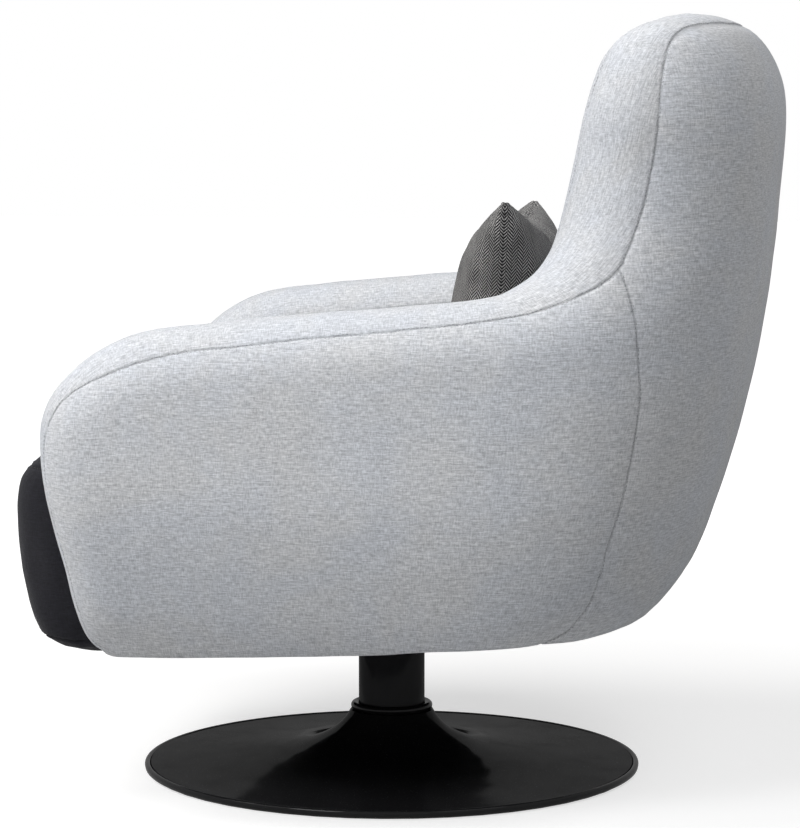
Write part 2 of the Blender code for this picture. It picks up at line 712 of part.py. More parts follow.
def spring_path(across):
    """A zigzag of bars and round turns from the front rail to the rear rail."""
    start = FRAME_FRONT + RAIL_THICKNESS / 2
    end = FRAME_REAR - RAIL_THICKNESS / 2
    bars = round((end - start) / SPRING_PITCH)
    pitch = (end - start) / bars
    bend = SPRING_HALF_WIDTH - pitch / 2
    path = []
    for bar in range(bars + 1):
        side = 1 if bar % 2 else -1
        along = start + bar * pitch
        path.append((across - side * bend, along))
        path.append((across + side * bend, along))
        if bar < bars:
            for turn in SPRING_TURN_SHARES:
                angle = math.pi * turn
                path.append((
                    across + side * (bend + pitch / 2 * math.sin(angle)),
                    along + pitch / 2 * (1 - math.cos(angle)),
                ))
    return [(x, y, WIRE_LEVEL) for x, y in path]


def seat_springs(seat):
    """Flat zigzag springs across the seat."""
    for number, across in spring_rows():
        name = f"seat_spring_{number}"
        path = spring_path(across)
        curve = bpy.data.curves.new(name, "CURVE")
        curve.dimensions = "3D"
        curve.bevel_depth = SPRING_WIRE
        curve.bevel_resolution = 1
        curve.resolution_u = 1
        curve.render_resolution_u = 0
        curve.use_fill_caps = True
        spline = curve.splines.new("POLY")
        spline.points.add(len(path) - 1)
        for point, place in zip(spline.points, path):
            point.co = (*place, 1)
        curve.materials.append(finish(name + "_finish", SPRING_STEEL))
        made = bpy.data.objects.new(name, curve)
        bpy.context.scene.collection.objects.link(made)
        made.parent = seat


def clip_outline(middle, side):
    """A hooked clip seen from the side: a foot on the rail, a back and a lip over the wire."""
    foot = FRAME_TOP + GAP
    reach = SPRING_WIRE + GAP
    lip = WIRE_LEVEL + reach
    inner = middle + side * reach
    outer = inner + side * CLIP_SHEET
    mouth = middle - side * (reach + 2 * CLIP_SHEET)
    return [
        (mouth, foot), (outer, foot), (outer, lip + CLIP_SHEET), (mouth, lip + CLIP_SHEET),
        (mouth, lip), (inner, lip), (inner, foot + CLIP_SHEET), (mouth, foot + CLIP_SHEET),
    ]


def spring_clips(seat):
    """A clip on the front and the rear rail holds each spring's end bar."""
    ends = (
        ("front", FRAME_FRONT + RAIL_THICKNESS / 2, -1),
        ("rear", FRAME_REAR - RAIL_THICKNESS / 2, 1),
    )
    for number, across in spring_rows():
        for label, middle, side in ends:
            name = f"spring_clip_{label}_{number}"
            low = across - CLIP_STRIP_WIDTH / 4
            outline = clip_outline(middle, side)
            add(name, slab(name, outline, low, low + CLIP_STRIP_WIDTH / 2, "x"), ZINC, seat)


def spring_felt(seat):
    """The felt sheet that keeps the springs off the cushion."""
    wide = SPRING_COUNT / 2 * SPRING_SPACING - FELT_MARGIN
    low = (-wide, FRAME_FRONT + RAIL_THICKNESS + FELT_MARGIN, FELT_UNDER)
    high = (wide, FRAME_REAR - RAIL_THICKNESS - FELT_MARGIN, FELT_TOP)
    return add("spring_felt", block("spring_felt", low, high), GREY_FELT, seat)


# Upholstered tub
#
# The tub is one wall that runs from the tip of one arm round the back to the other.
# A place on it is a run, measured along the wall from the middle of the back, and a height.

def smooth(pairs, at):
    """A smooth curve through pairs of share and value."""
    shares, values = np.array(pairs, float).T
    slopes = np.gradient(values, shares)
    at = np.clip(at, shares[0], shares[-1])
    left = np.clip(np.searchsorted(shares, at) - 1, 0, len(shares) - 2)
    width = shares[left + 1] - shares[left]
    part = (at - shares[left]) / width
    rest = 1 - part
    return (
        (1 + 2 * part) * rest ** 2 * values[left]
        + part * rest ** 2 * width * slopes[left]
        + part ** 2 * (3 - 2 * part) * values[left + 1]
        - part ** 2 * rest * width * slopes[left + 1]
    )


def corner(half, rear, squareness, turn):
    """A quarter of a squared ellipse: turn 0 is the back's middle and turn 1 is where the arm starts."""
    angle = np.clip(turn, 0, 1) * math.pi / 2
    across = half * np.maximum(np.sin(angle), 0) ** (2 / squareness)
    deep = (rear - TUB_ARM_START) * np.maximum(np.cos(angle), 0) ** (2 / squareness)
    return np.stack([across, TUB_ARM_START + deep], -1)


def wall_corner(height, turn):
    """The outer and inner skin at a height, for the round part of the wall."""
    share = (np.asarray(height) - TUB_UNDER) / TUB_HEIGHT
    outer = corner(
        TUB_HALF_WIDTH * smooth(OUTER_WIDTH_SHARES, share),
        TUB_REAR * smooth(OUTER_REAR_SHARES, share), OUTER_SQUARENESS, turn)
    inner = corner(
        TUB_HALF_WIDTH * smooth(INNER_WIDTH_SHARES, share),
        TUB_REAR * smooth(INNER_REAR_SHARES, share), INNER_SQUARENESS, turn)
    return outer, inner


def measured_run():
    """Turns and the length of wall up to each, at the reference level."""
    turns = np.linspace(0, 1, RUN_SAMPLES)
    outer, inner = wall_corner(np.full_like(turns, REFERENCE_LEVEL), turns)
    middle = (outer + inner) / 2
    steps = np.linalg.norm(np.diff(middle, axis=0), axis=1)
    return turns, np.concatenate([[0], np.cumsum(steps)])


TURNS, RUNS = measured_run()
CORNER_RUN = RUNS[-1]
WHOLE_RUN = CORNER_RUN + ARM_LENGTH


def underside(run):
    """The tub's lower edge, which rises towards the back."""
    return TUB_UNDER + UNDER_RISE * smooth(UNDER_SHARES, np.abs(run) / WHOLE_RUN)


def skins(run, height):
    """The outer and inner skin's plan points, before the wall's edge is rounded."""
    outer, inner = wall_corner(height, np.interp(np.minimum(np.abs(run), CORNER_RUN), RUNS, TURNS))
    ahead = np.maximum(np.abs(run) - CORNER_RUN, 0)
    forward = np.stack([np.zeros_like(ahead), -ahead], -1)
    mirror = np.stack([np.where(run < 0, -1, 1), np.ones_like(ahead)], -1)
    return (outer + forward) * mirror, (inner + forward) * mirror


def upper_edge():
    """The tub's upper edge as (run, height) points, from an arm's front foot to the back's middle."""
    points = [(CORNER_RUN + a * ARM_LENGTH, TUB_UNDER + h * TUB_HEIGHT) for a, h in ARM_EDGE_SHARES]
    points += [(a * CORNER_RUN, TUB_UNDER + h * TUB_HEIGHT) for a, h in CORNER_EDGE_SHARES]
    half = len(points)
    points += [(-run, height) for run, height in points[-2::-1]]
    points = np.array(points)
    marks = np.concatenate([[0], np.cumsum(np.sqrt(np.linalg.norm(np.diff(points, axis=0), axis=1)))])
    wanted = np.linspace(0, marks[half - 1], EDGE_SAMPLES)
    return np.stack([smooth(np.stack([marks, points[:, k]], -1), wanted) for k in (0, 1)], -1)


EDGE = upper_edge()


def edge_distance(run, height):
    """How far a place on the wall is from the upper edge."""
    places = np.stack([np.abs(run).ravel(), height.ravel()], -1)
    segments = EDGE[1:] - EDGE[:-1]
    lengths = (segments ** 2).sum(1)
    best = np.empty(len(places))
    for number, place in enumerate(places):
        offset = place - EDGE[:-1]
        part = np.clip((offset * segments).sum(1) / lengths, 0, 1)
        nearest = offset - segments * part[:, None]
        best[number] = math.sqrt((nearest ** 2).sum(1).min())
    return best.reshape(np.shape(run))


def wall_points(run, height, side, on_edge):
    """Points on the outer (side 1) or inner (side -1) skin, rounded off at the upper edge."""
    outer, inner = skins(run, height)
    middle = (outer + inner) / 2
    thickness = np.linalg.norm(outer - inner, axis=-1) / 2
    reach = np.clip(edge_distance(run, height) / (ROLL_SHARE * np.minimum(thickness, ROLL_LIMIT)), 0, 1)
    full = (1 - (1 - reach) ** ROLL_FULLNESS) ** (1 / ROLL_FULLNESS)
    full = np.where(on_edge, 0, full)[..., None]
    plan = middle + (outer - middle) * full * side
    return np.concatenate([plan, height[..., None]], -1)


def split_line(count, shift):
    """The joint between arm and back as (run, height) points from the underside to the upper edge."""
    shares = np.array(SPLIT_SHARES)
    runs = shares[:, 0] * CORNER_RUN
    heights = TUB_UNDER + shares[:, 1] * TUB_HEIGHT
    heights[0] = underside(runs[0])
    points = np.stack([runs, heights], -1)
    marks = np.concatenate([[0], np.cumsum(np.linalg.norm(np.diff(points, axis=0), axis=1))])
    dense = np.linspace(0, marks[-1], RUN_SAMPLES)
    line = np.stack([smooth(np.stack([marks, points[:, k]], -1), dense) for k in (0, 1)], -1)
    course = np.gradient(line, axis=0)
    course /= np.linalg.norm(course, axis=1)[:, None]
    line = line + np.stack([course[:, 1], -course[:, 0]], -1) * shift
    crossing = np.abs(EDGE[:, None] - line[None, -1]).sum(-1).argmin()
    line[-1] = EDGE[crossing]
    wanted = np.linspace(0, 1, count) ** JOINT_CROWDING
    steps = np.concatenate([[0], np.cumsum(np.linalg.norm(np.diff(line, axis=0), axis=1))])
    return np.stack([np.interp(wanted * steps[-1], steps, line[:, k]) for k in (0, 1)], -1), crossing


def along(points, shares):
    """Points at shares of a polyline's length."""
    steps = np.concatenate([[0], np.cumsum(np.linalg.norm(np.diff(points, axis=0), axis=1))])
    return np.stack([np.interp(np.asarray(shares) * steps[-1], steps, points[:, k]) for k in (0, 1)], -1)


def patch(bottom, top, first, last, across, up):
    """Fills four boundary curves with a net of (run, height) places."""
    b, t = along(bottom, across), along(top, across)
    f, l = along(first, up), along(last, up)
    u = np.asarray(across)[:, None, None]
    v = np.asarray(up)[None, :, None]
    ruled = (1 - v) * b[:, None] + v * t[:, None] + (1 - u) * f[None] + u * l[None]
    corners = (1 - u) * (1 - v) * b[0] + u * (1 - v) * b[-1] + (1 - u) * v * t[0] + u * v * t[-1]
    return ruled - corners


def crowded(count):
    """Shares from 0 to 1 that crowd towards 1."""
    return 1 - (1 - np.linspace(0, 1, count)) ** NET_CROWDING


JOINT_LEVELS = crowded(JOINT_ROWS)


def wall_solid(name, net, on_edge):
    """A closed solid between the two skins of a net of places."""
    run, height = net[..., 0], net[..., 1]
    outer = wall_points(run, height, 1, on_edge)
    inner = wall_points(run, height, -1, on_edge)
    rows, columns = run.shape
    points, outer_index, inner_index = [], {}, {}
    for i in range(rows):
        for j in range(columns):
            outer_index[i, j] = len(points)
            points.append(outer[i, j])
            if on_edge[i, j]:
                inner_index[i, j] = outer_index[i, j]
                continue
            inner_index[i, j] = len(points)
            points.append(inner[i, j])
    faces = []
    for i in range(rows - 1):
        for j in range(columns - 1):
            corners = [(i, j), (i + 1, j), (i + 1, j + 1), (i, j + 1)]
            faces.append([outer_index[c] for c in corners])
            faces.append([inner_index[c] for c in reversed(corners)])
    rim = [(i, 0) for i in range(rows)] + [(rows - 1, j) for j in range(1, columns)]
    rim += [(i, columns - 1) for i in range(rows - 2, -1, -1)] + [(0, j) for j in range(columns - 2, 0, -1)]
    for pair in zip(rim, rim[1:] + rim[:1]):
        low, high = sorted(pair, key=lambda place: (place[1], place[0]))
        for face in (
            (outer_index[low], outer_index[high], inner_index[high]),
            (outer_index[low], inner_index[high], inner_index[low]),
        ):
            if len(set(face)) == 3:
                faces.append(face)
    return mesh_of(name, points, faces)


def frame_bay():
    """The space inside the tub that the seat frame fills."""
    low = (-BAY_HALF_WIDTH, BAY_FRONT, TUB_UNDER - OVERRUN)
    high = (BAY_HALF_WIDTH, BAY_REAR, BAY_TOP)
    return block("frame_bay", low, high)


def arm_net(across, up):
    """The places of an arm's wall, from its joint with the back to its front."""
    joint, crossing = split_line(RUN_SAMPLES, SPLIT_GAP / 2)
    peak = np.flatnonzero(EDGE[:, 1] > TUB_UNDER + ARM_NOSE_SHARE * TUB_HEIGHT)[0]
    front = EDGE[:peak + 1]
    top = EDGE[peak:crossing + 1][::-1]
    foot = np.linspace(joint[0, 0], front[0, 0], RUN_SAMPLES)
    bottom = np.stack([foot, underside(foot)], -1)
    bottom[-1] = front[0]
    top = np.vstack([joint[-1:], top[1:]])
    return patch(bottom, top, joint, front, across, up)


def upholstered_arm(name, side, seat):
    """An arm of foam and cloth, open below for its board and for the seat frame."""
    across = crowded(ARM_COLUMNS)
    net = arm_net(across, JOINT_LEVELS)
    on_edge = np.zeros(net.shape[:2], bool)
    on_edge[-1, :] = True
    on_edge[:, -1] = True
    net[..., 0] *= side
    arm = add(name, wall_solid(name, net, on_edge), LIGHT_LINEN, seat, SHARP_WALL)
    near = side * FRAME_HALF_WIDTH
    far = side * (FRAME_HALF_WIDTH + BOARD_THICKNESS + 2 * GAP)
    slot = grown(arm_board_outline(), GAP)
    slot[0] = (slot[0][0], TUB_UNDER - OVERRUN)
    slot[1] = (slot[1][0], TUB_UNDER - OVERRUN)
    cut(arm, slab("slot", slot, min(near, far), max(near, far), "x"))
    cut(arm, frame_bay())
    return arm


def back_net(across, up):
    """The places of the left half of the back's wall, from the middle out to its side edge."""
    joint, crossing = split_line(RUN_SAMPLES, -SPLIT_GAP / 2)
    shoulder = np.flatnonzero(EDGE[:, 0] < SHOULDER_SHARE * CORNER_RUN)[0]
    side = np.vstack([joint, EDGE[crossing + 1:shoulder + 1]])
    top = EDGE[shoulder:][::-1]
    foot = np.linspace(0, joint[0, 0], RUN_SAMPLES)
    bottom = np.stack([foot, underside(foot)], -1)
    bottom[-1] = joint[0]
    middle = np.stack([np.zeros(2), np.array([underside(0.0), TUB_TOP])], -1)
    places = patch(bottom, top, middle, side, across, up)
    lengths = np.linalg.norm(np.diff(side, axis=0), axis=1)
    cumulative = np.concatenate([[0], np.cumsum(lengths)]) / lengths.sum()
    return places, cumulative[len(joint) - 1]


def upholstered_back(seat):
    """The back of foam and cloth, open below for its posts and rails."""
    across = crowded(BACK_COLUMNS)
    _, joint_share = back_net(across, JOINT_LEVELS)
    lower = joint_share * JOINT_LEVELS
    upper = joint_share + (1 - joint_share) * crowded(BACK_UPPER_ROWS)[1:]
    up = np.concatenate([lower, upper])
    half, _ = back_net(across, up)
    mirrored = half[:0:-1] * np.array([-1, 1])
    net = np.concatenate([mirrored, half])
    on_edge = np.zeros(net.shape[:2], bool)
    on_edge[:, -1] = True
    on_edge[0, len(lower) - 1:] = True
    on_edge[-1, len(lower) - 1:] = True
    back = add("upholstered_back", wall_solid("upholstered_back", net, on_edge), LIGHT_LINEN, seat,
               SHARP_WALL)
    pocket = grown(post_outline(), GAP)
    pocket[0] = (pocket[0][0], TUB_UNDER - OVERRUN)
    pocket[1] = (pocket[1][0], TUB_UNDER - OVERRUN)
    reach = POST_OFFSET + POST_WIDTH / 2 + GAP
    cut(back, slab("pocket", pocket, -reach, reach, "x"))
    cut(back, frame_bay())
    return back


# Loose soft parts

def cushion_outline(inset):
    """The seat's plan outline: straight front, sides along the arms and round rear corners."""
    reach = inset + CUSHION_SIDE_CLEARANCE
    turns = np.linspace(0, 1, CUSHION_REAR_STEPS)
    level = np.full_like(turns, FRAME_TOP)
    _, rear = wall_corner(level, turns)
    centre = np.array([0, TUB_ARM_START])
    size = rear[0, 1] - TUB_ARM_START
    shrink = np.array([1 - reach / rear[-1, 0], 1 - reach / size])
    rear = centre + (rear - centre) * shrink
    side = rear[-1, 0]
    front = CUSHION_FRONT + inset
    radius = CUSHION_CORNER
    angles = np.linspace(0, math.pi / 2, CUSHION_NOSE_STEPS)
    nose = [(side - radius + radius * math.cos(a), front + radius - radius * math.sin(a)) for a in angles]
    half = [tuple(p) for p in rear] + [(side, (TUB_ARM_START + front) / 2)] + nose
    mirrored = [(-x, y) for x, y in half[:0:-1]]
    return half + mirrored


def cushion_level(x, y):
    """The height of the cushion's crowned top at a place."""
    wide = CUSHION_HALF_WIDTH_SHARE * TUB_HALF_WIDTH
    deep = CUSHION_CENTRE - CUSHION_FRONT
    sideways = 1 - min(abs(x) / wide, 1) ** CUSHION_SQUARENESS
    lengthways = 1 - min(abs(y - CUSHION_CENTRE) / deep, 1) ** CUSHION_SQUARENESS
    return CUSHION_EDGE + CUSHION_CROWN * (sideways * lengthways) ** CUSHION_FULLNESS


def seat_cushion(seat):
    """A tall crowned block: its front hangs over the front rail and its rear rests on the felt."""
    edge_height = CUSHION_EDGE - CUSHION_UNDER
    rings = []
    for level, drawn in CUSHION_LEVEL_SHARES:
        outline = cushion_outline(drawn * CUSHION_CORNER)
        height = CUSHION_UNDER + level * edge_height
        rings.append([(x, y, height) for x, y in outline])
    rim = rings[-1]
    for share in CUSHION_RING_SHARES:
        ring = [(x * share, CUSHION_CENTRE + (y - CUSHION_CENTRE) * share) for x, y, _ in rim]
        rings.append([(x, y, cushion_level(x, y)) for x, y in ring])
    count = len(rim)
    points = [p for ring in rings for p in ring]
    faces = [tuple(range(count))]
    for level in range(len(rings) - 1):
        for step in range(count):
            after = (step + 1) % count
            here, there = level * count, (level + 1) * count
            faces.append((here + step, here + after, there + after, there + step))
    crown = len(points)
    points.append((0, CUSHION_CENTRE, CUSHION_EDGE + CUSHION_CROWN))
    last = (len(rings) - 1) * count
    for step in range(count):
        faces.append((last + step, last + (step + 1) % count, crown))
    cushion = add("seat_cushion", mesh_of("seat_cushion", points, faces), CHARCOAL_CLOTH, seat,
                  SHARP_CUSHION)
    low = (-TUB_HALF_WIDTH, BAY_FRONT, CUSHION_UNDER - OVERRUN)
    high = (TUB_HALF_WIDTH, TUB_REAR, CUSHION_SEAT)
    cut(cushion, block("underside", low, high))
    return cushion


def pillow_net():
    """The pillow's points about its own centre, and its faces."""
    across = np.sin(np.linspace(-math.pi / 2, math.pi / 2, PILLOW_COLUMNS))
    up = np.sin(np.linspace(-math.pi / 2, math.pi / 2, PILLOW_ROWS))
    points, index = [], {}
    for face in (1, -1):
        for i, u in enumerate(across):
            for j, v in enumerate(up):
                rim = i in (0, len(across) - 1) or j in (0, len(up) - 1)
                if rim and face < 0:
                    index[face, i, j] = index[1, i, j]
                    continue
                narrow = 1 - PILLOW_DRAW_SHARE * (1 - v ** 2)
                low = 1 - PILLOW_DRAW_SHARE * (1 - u ** 2)
                swell = ((1 - u ** 2) * (1 - v ** 2)) ** PILLOW_FULLNESS
                index[face, i, j] = len(points)
                points.append((
                    u * PILLOW_WIDTH / 2 * narrow,
                    face * PILLOW_DEPTH / 2 * swell,
                    v * PILLOW_HEIGHT / 2 * low,
                ))
    faces = []
    for face in (1, -1):
        for i in range(len(across) - 1):
            for j in range(len(up) - 1):
                corners = [(i, j), (i + 1, j), (i + 1, j + 1), (i, j + 1)]
                faces.append([index[(face, *c)] for c in corners[::face]])
    return points, faces


def back_front_at(x, z):
    """How far back the back's inner face lies at a place."""
    outer, inner = wall_corner(np.array([z, z]), np.array([0.0, 1.0]))
    half, deep = inner[1, 0], inner[0, 1] - TUB_ARM_START
    return TUB_ARM_START + deep * max(1 - min(abs(x) / half, 1) ** INNER_SQUARENESS, 0) ** (1 / INNER_SQUARENESS)


def pillow_seat(points):
    """Where the pillow comes to rest on the cushion and against the back."""
    turn = Euler((-PILLOW_LEAN, 0, PILLOW_TURN)).to_matrix()
    turned_points = [turn @ Vector(p) for p in points]
    place = Vector((0, TUB_ARM_START, CUSHION_EDGE + PILLOW_HEIGHT / 2))
    for _ in range(PILLOW_SETTLES):
        rise = max(cushion_level(p.x, p.y + place.y) - p.z for p in turned_points if p.z < 0)
        place.z = rise + PILLOW_CLEARANCE
        reach = min(back_front_at(p.x, p.z + place.z) - p.y for p in turned_points)
        place.y = reach - PILLOW_CLEARANCE
    return place


def lumbar_pillow(pillow):
    """A loose pillow with drawn-in sides and pointed corners, leaning on the back."""
    points, faces = pillow_net()
    made = add("lumbar_pillow", mesh_of("lumbar_pillow", points, faces), TWEED, pillow, SHARP_PILLOW)
    made.rotation_euler = (-PILLOW_LEAN, 0, PILLOW_TURN)
    pillow.location = pillow_seat(points)
    return made


def build():
    """Makes every piece of the chair."""
    clear_objects()
    seat = bpy.data.objects.new("seat_axis", None)
    pillow = bpy.data.objects.new("pillow_place", None)
    for guide in (seat, pillow):
        bpy.context.scene.collection.objects.link(guide)
    pillow.parent = seat
    for piece in (floor_pad, base_shell, collar_ring, ballast_plate, clamp_washer, clamp_bolt,
                  column_plug, column_tube, lower_bush, upper_bush, thrust_washer):
        piece()
    for piece in (spindle, retaining_clip, swivel_plate, plate_bolts, tee_nuts, cross_rails, seat_rails,
                  dust_cover, arm_boards, back_frame, seat_springs, spring_clips, spring_felt, seat_cushion,
                  upholstered_back):
        piece(seat)
    upholstered_arm("upholstered_arm_left", 1, seat)
    upholstered_arm("upholstered_arm_right", -1, seat)
    lumbar_pillow(pillow)


build()
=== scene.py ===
import math

import bmesh
import bpy
import numpy as np
from bpy.props import FloatProperty, FloatVectorProperty, PointerProperty
from bpy.types import Operator, Panel, PropertyGroup
from mathutils import Euler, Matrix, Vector, noise
from mathutils.bvhtree import BVHTree
from mathutils.kdtree import KDTree


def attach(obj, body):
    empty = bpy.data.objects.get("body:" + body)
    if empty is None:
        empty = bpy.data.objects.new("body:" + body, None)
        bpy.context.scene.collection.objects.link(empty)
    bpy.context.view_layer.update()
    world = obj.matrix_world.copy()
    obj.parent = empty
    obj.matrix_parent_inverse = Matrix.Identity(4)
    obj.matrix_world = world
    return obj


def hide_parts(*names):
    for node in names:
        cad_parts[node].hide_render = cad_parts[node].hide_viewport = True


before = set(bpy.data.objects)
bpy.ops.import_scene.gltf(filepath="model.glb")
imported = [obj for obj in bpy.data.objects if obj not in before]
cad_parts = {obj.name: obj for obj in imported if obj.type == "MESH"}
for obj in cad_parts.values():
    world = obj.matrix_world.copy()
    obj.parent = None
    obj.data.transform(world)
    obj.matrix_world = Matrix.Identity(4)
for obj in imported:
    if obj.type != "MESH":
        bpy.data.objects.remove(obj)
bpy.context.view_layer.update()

bl_info = {
    "name": "Swivel Armchair",
    "version": (1, 0, 0),
    "blender": (4, 5, 0),
    "location": "View3D > Sidebar > Armchair",
    "description": "Dresses the packed armchair in linen, tweed and black gloss",
    "category": "Object",
}

# The wall of the tub, as the part's source lays it out. Lengths are metres.
TUB_UNDER = 0.1745
TUB_TOP = 0.8605
TUB_HALF_WIDTH = 0.400
TUB_REAR = 0.4422
TUB_ARM_START = 0.060
TUB_FRONT = -0.321
UNDER_RISE = 0.0315
ROLL_LIMIT = 0.085
OUTER_SQUARENESS = 3.0
INNER_SQUARENESS = 4.5
ROLL_FULLNESS = 2.1
ROLL_SHARE = 1.05
REFERENCE_SHARE = 0.4746
OUTER_WIDTH_SHARES = (
    (0, 0.845), (0.0676, 0.93), (0.1271, 0.968), (0.2264, 1.0), (0.3455, 0.998), (0.4647, 0.985),
    (0.5639, 0.975), (0.7526, 0.97), (1.0, 0.95),
)
OUTER_REAR_SHARES = (
    (0, 0.59), (0.0378, 0.683), (0.0809, 0.749), (0.1436, 0.8025), (0.2063, 0.838),
    (0.3258, 0.8912), (0.4643, 0.94), (0.5634, 0.964), (0.7194, 0.988), (0.855, 1.0),
    (0.905, 0.9935), (0.95, 0.9855), (1.0, 0.98),
)
INNER_WIDTH_SHARES = (
    (0, 0.68), (0.5044, 0.68), (0.6235, 0.7), (0.8022, 0.76), (1.0, 0.8),
)
INNER_REAR_SHARES = (
    (0, 0.4677), (0.3257, 0.4677), (0.4746, 0.4816), (0.6235, 0.5154), (0.7625, 0.5552),
    (0.9114, 0.6089), (1.0, 0.6368),
)
ARM_EDGE_SHARES = (
    (0.836, 0.0046), (0.8622, 0.014), (0.8858, 0.032), (0.916, 0.0904), (0.9357, 0.1465),
    (0.9606, 0.2019), (0.9843, 0.2587), (0.9974, 0.3214), (0.9934, 0.3724), (0.9619, 0.4169),
    (0.879, 0.4665), (0.7399, 0.508), (0.5039, 0.5287), (0.2231, 0.544), (0.0199, 0.5531),
)
CORNER_EDGE_SHARES = (
    (0.81, 0.5719), (0.756, 0.5857), (0.69, 0.6185), (0.636, 0.6786), (0.605, 0.766),
    (0.593, 0.8538), (0.561, 0.9233), (0.509, 0.9745), (0.4, 0.9949), (0.2, 0.9993), (0, 0.9993),
)
UNDER_SHARES = (
    (0, 1.0), (0.2, 0.95), (0.385, 0.84), (0.458, 0.76), (0.532, 0.64), (0.637, 0.45), (0.75, 0.30),
    (0.875, 0.14), (1, 0),
)
EDGE_SAMPLES = 900
RUN_SAMPLES = 401
TUB_HEIGHT = TUB_TOP - TUB_UNDER
ARM_LENGTH = TUB_ARM_START - TUB_FRONT

# Seams. The two drops say how far below the crest each seam runs, at shares of the crest's length.
OUTER_SEAM_DROPS = (
    (0, 0.0065), (0.03966, 0.0084), (0.08009, 0.0084), (0.1104, 0.0077), (0.1458, 0.008),
    (0.1731, 0.0095), (0.2014, 0.0155), (0.2234, 0.0185), (0.2393, 0.022), (0.2641, 0.0275),
    (0.2843, 0.0293), (0.3126, 0.028), (0.3318, 0.0254), (0.351, 0.0238), (0.3813, 0.0248),
    (0.4066, 0.0232), (0.4602, 0.0215), (0.5416, 0.0198), (0.5694, 0.0188), (0.5876, 0.0195),
    (0.6068, 0.0208), (0.6225, 0.0227), (0.6298, 0.0226), (0.6411, 0.0198), (0.6573, 0.017),
    (0.6775, 0.0155), (0.6992, 0.0141), (0.7209, 0.0134), (0.7324, 0.0131), (0.7455, 0.012),
    (0.7571, 0.0106), (0.773, 0.0086), (0.7845, 0.007), (0.7961, 0.0058), (0.812, 0.0053),
    (0.8236, 0.0051), (0.8409, 0.0056), (0.8539, 0.0066), (0.8686, 0.0073), (1, 0.0078),
)
INNER_SEAM_DROPS = (
    (0, 0.0184), (0.0902, 0.022), (0.2115, 0.033), (0.3227, 0.036), (0.444, 0.035), (0.5956, 0.029),
    (0.6765, 0.025), (0.7978, 0.022), (0.8989, 0.016), (1, 0.015),
)
JOINT_SHARE = 0.6298
NOSE_SHARE = 0.2115
SHOULDER_SHARE = 0.8009
SIDE_SEAM_SHARES = (
    (0.66, 0.0403), (0.62, 0.0605), (0.6102, 0.0809), (0.6043, 0.1013), (0.6013, 0.1276),
    (0.6015, 0.1538), (0.6018, 0.1871), (0.5978, 0.2238), (0.594, 0.2675), (0.593, 0.3287),
    (0.5954, 0.3899), (0.5974, 0.4191), (0.6053, 0.4541), (0.6162, 0.5036), (0.6221, 0.5386),
    (0.6265, 0.562), (0.6295, 0.5882),
)
NEAR_SEAM = (0.0007, 0.0016, 0.0030, 0.0052)
SEAM_LIFT = 0.0006
MESH_STEP = 0.0062
CREST_SEAMS = ((False, True), (True, True), (False, False), (True, False))
BAND_SHARES = (0.0, 0.13, 0.26, 0.39, 0.51, 0.62, 0.72, 0.81, 0.885, 0.94, 0.975, 1.0)
UNDER_HEM = 0.004
UNDER_HEM_SLOPE = 12
NOSE_ROWS = 5
NOSE_CLOTH = (0.02, 0.08)
STEPS_A_METRE = 1e5
OFFSET_BATCH = 4000


def smooth(pairs, at):
    """A smooth curve through pairs of share and value."""
    shares, values = np.array(pairs, float).T
    slopes = np.gradient(values, shares)
    at = np.clip(at, shares[0], shares[-1])
    left = np.clip(np.searchsorted(shares, at) - 1, 0, len(shares) - 2)
    width = shares[left + 1] - shares[left]
    part = (at - shares[left]) / width
    rest = 1 - part
    return (
        (1 + 2 * part) * rest ** 2 * values[left]
        + part * rest ** 2 * width * slopes[left]
        + part ** 2 * (3 - 2 * part) * values[left + 1]
        - part ** 2 * rest * width * slopes[left + 1]
    )


def held_off(gap, near):
    """A distance from a surface, pressed so that it never falls below nought."""
    return near * np.logaddexp(0, gap / near)


def lengths_along(points):
    """The length of a polyline up to each of its points."""
    steps = np.linalg.norm(np.diff(points, axis=0), axis=1)
    return np.concatenate([[0], np.cumsum(steps)])


def shares_along(points):
    """Each point's share of a polyline's length."""
    marks = lengths_along(points)
    return marks / marks[-1]


def points_at(marks, points, wanted):
    """Points at lengths along a polyline."""
    return np.stack([np.interp(wanted, marks, column) for column in points.T], -1)


def curve_through(marks, points, wanted):
    """Points at lengths along a smooth curve through points."""
    return np.stack([smooth(np.stack([marks, column], -1), wanted) for column in points.T], -1)


def corner(half, rear, squareness, turn):
    """A quarter of a squared ellipse: turn 0 is the back's middle and turn 1 is where the arm starts."""
    angle = np.clip(turn, 0, 1) * math.pi / 2
    across = half * np.maximum(np.sin(angle), 0) ** (2 / squareness)
    deep = (rear - TUB_ARM_START) * np.maximum(np.cos(angle), 0) ** (2 / squareness)
    return np.stack([across, TUB_ARM_START + deep], -1)


def wall_corner(height, turn):
    """The outer and inner skin at a height, for the round part of the wall."""
    share = (np.asarray(height) - TUB_UNDER) / TUB_HEIGHT
    outer = corner(
        TUB_HALF_WIDTH * smooth(OUTER_WIDTH_SHARES, share),
        TUB_REAR * smooth(OUTER_REAR_SHARES, share), OUTER_SQUARENESS, turn)
    inner = corner(
        TUB_HALF_WIDTH * smooth(INNER_WIDTH_SHARES, share),
        TUB_REAR * smooth(INNER_REAR_SHARES, share), INNER_SQUARENESS, turn)
    return outer, inner


def measured_run():
    """Turns and the length of wall up to each, at the reference level."""
    turns = np.linspace(0, 1, RUN_SAMPLES)
    outer, inner = wall_corner(np.full_like(turns, TUB_UNDER + REFERENCE_SHARE * TUB_HEIGHT), turns)
    return turns, lengths_along((outer + inner) / 2)


TURNS, RUNS = measured_run()
CORNER_RUN = RUNS[-1]
WHOLE_RUN = CORNER_RUN + ARM_LENGTH


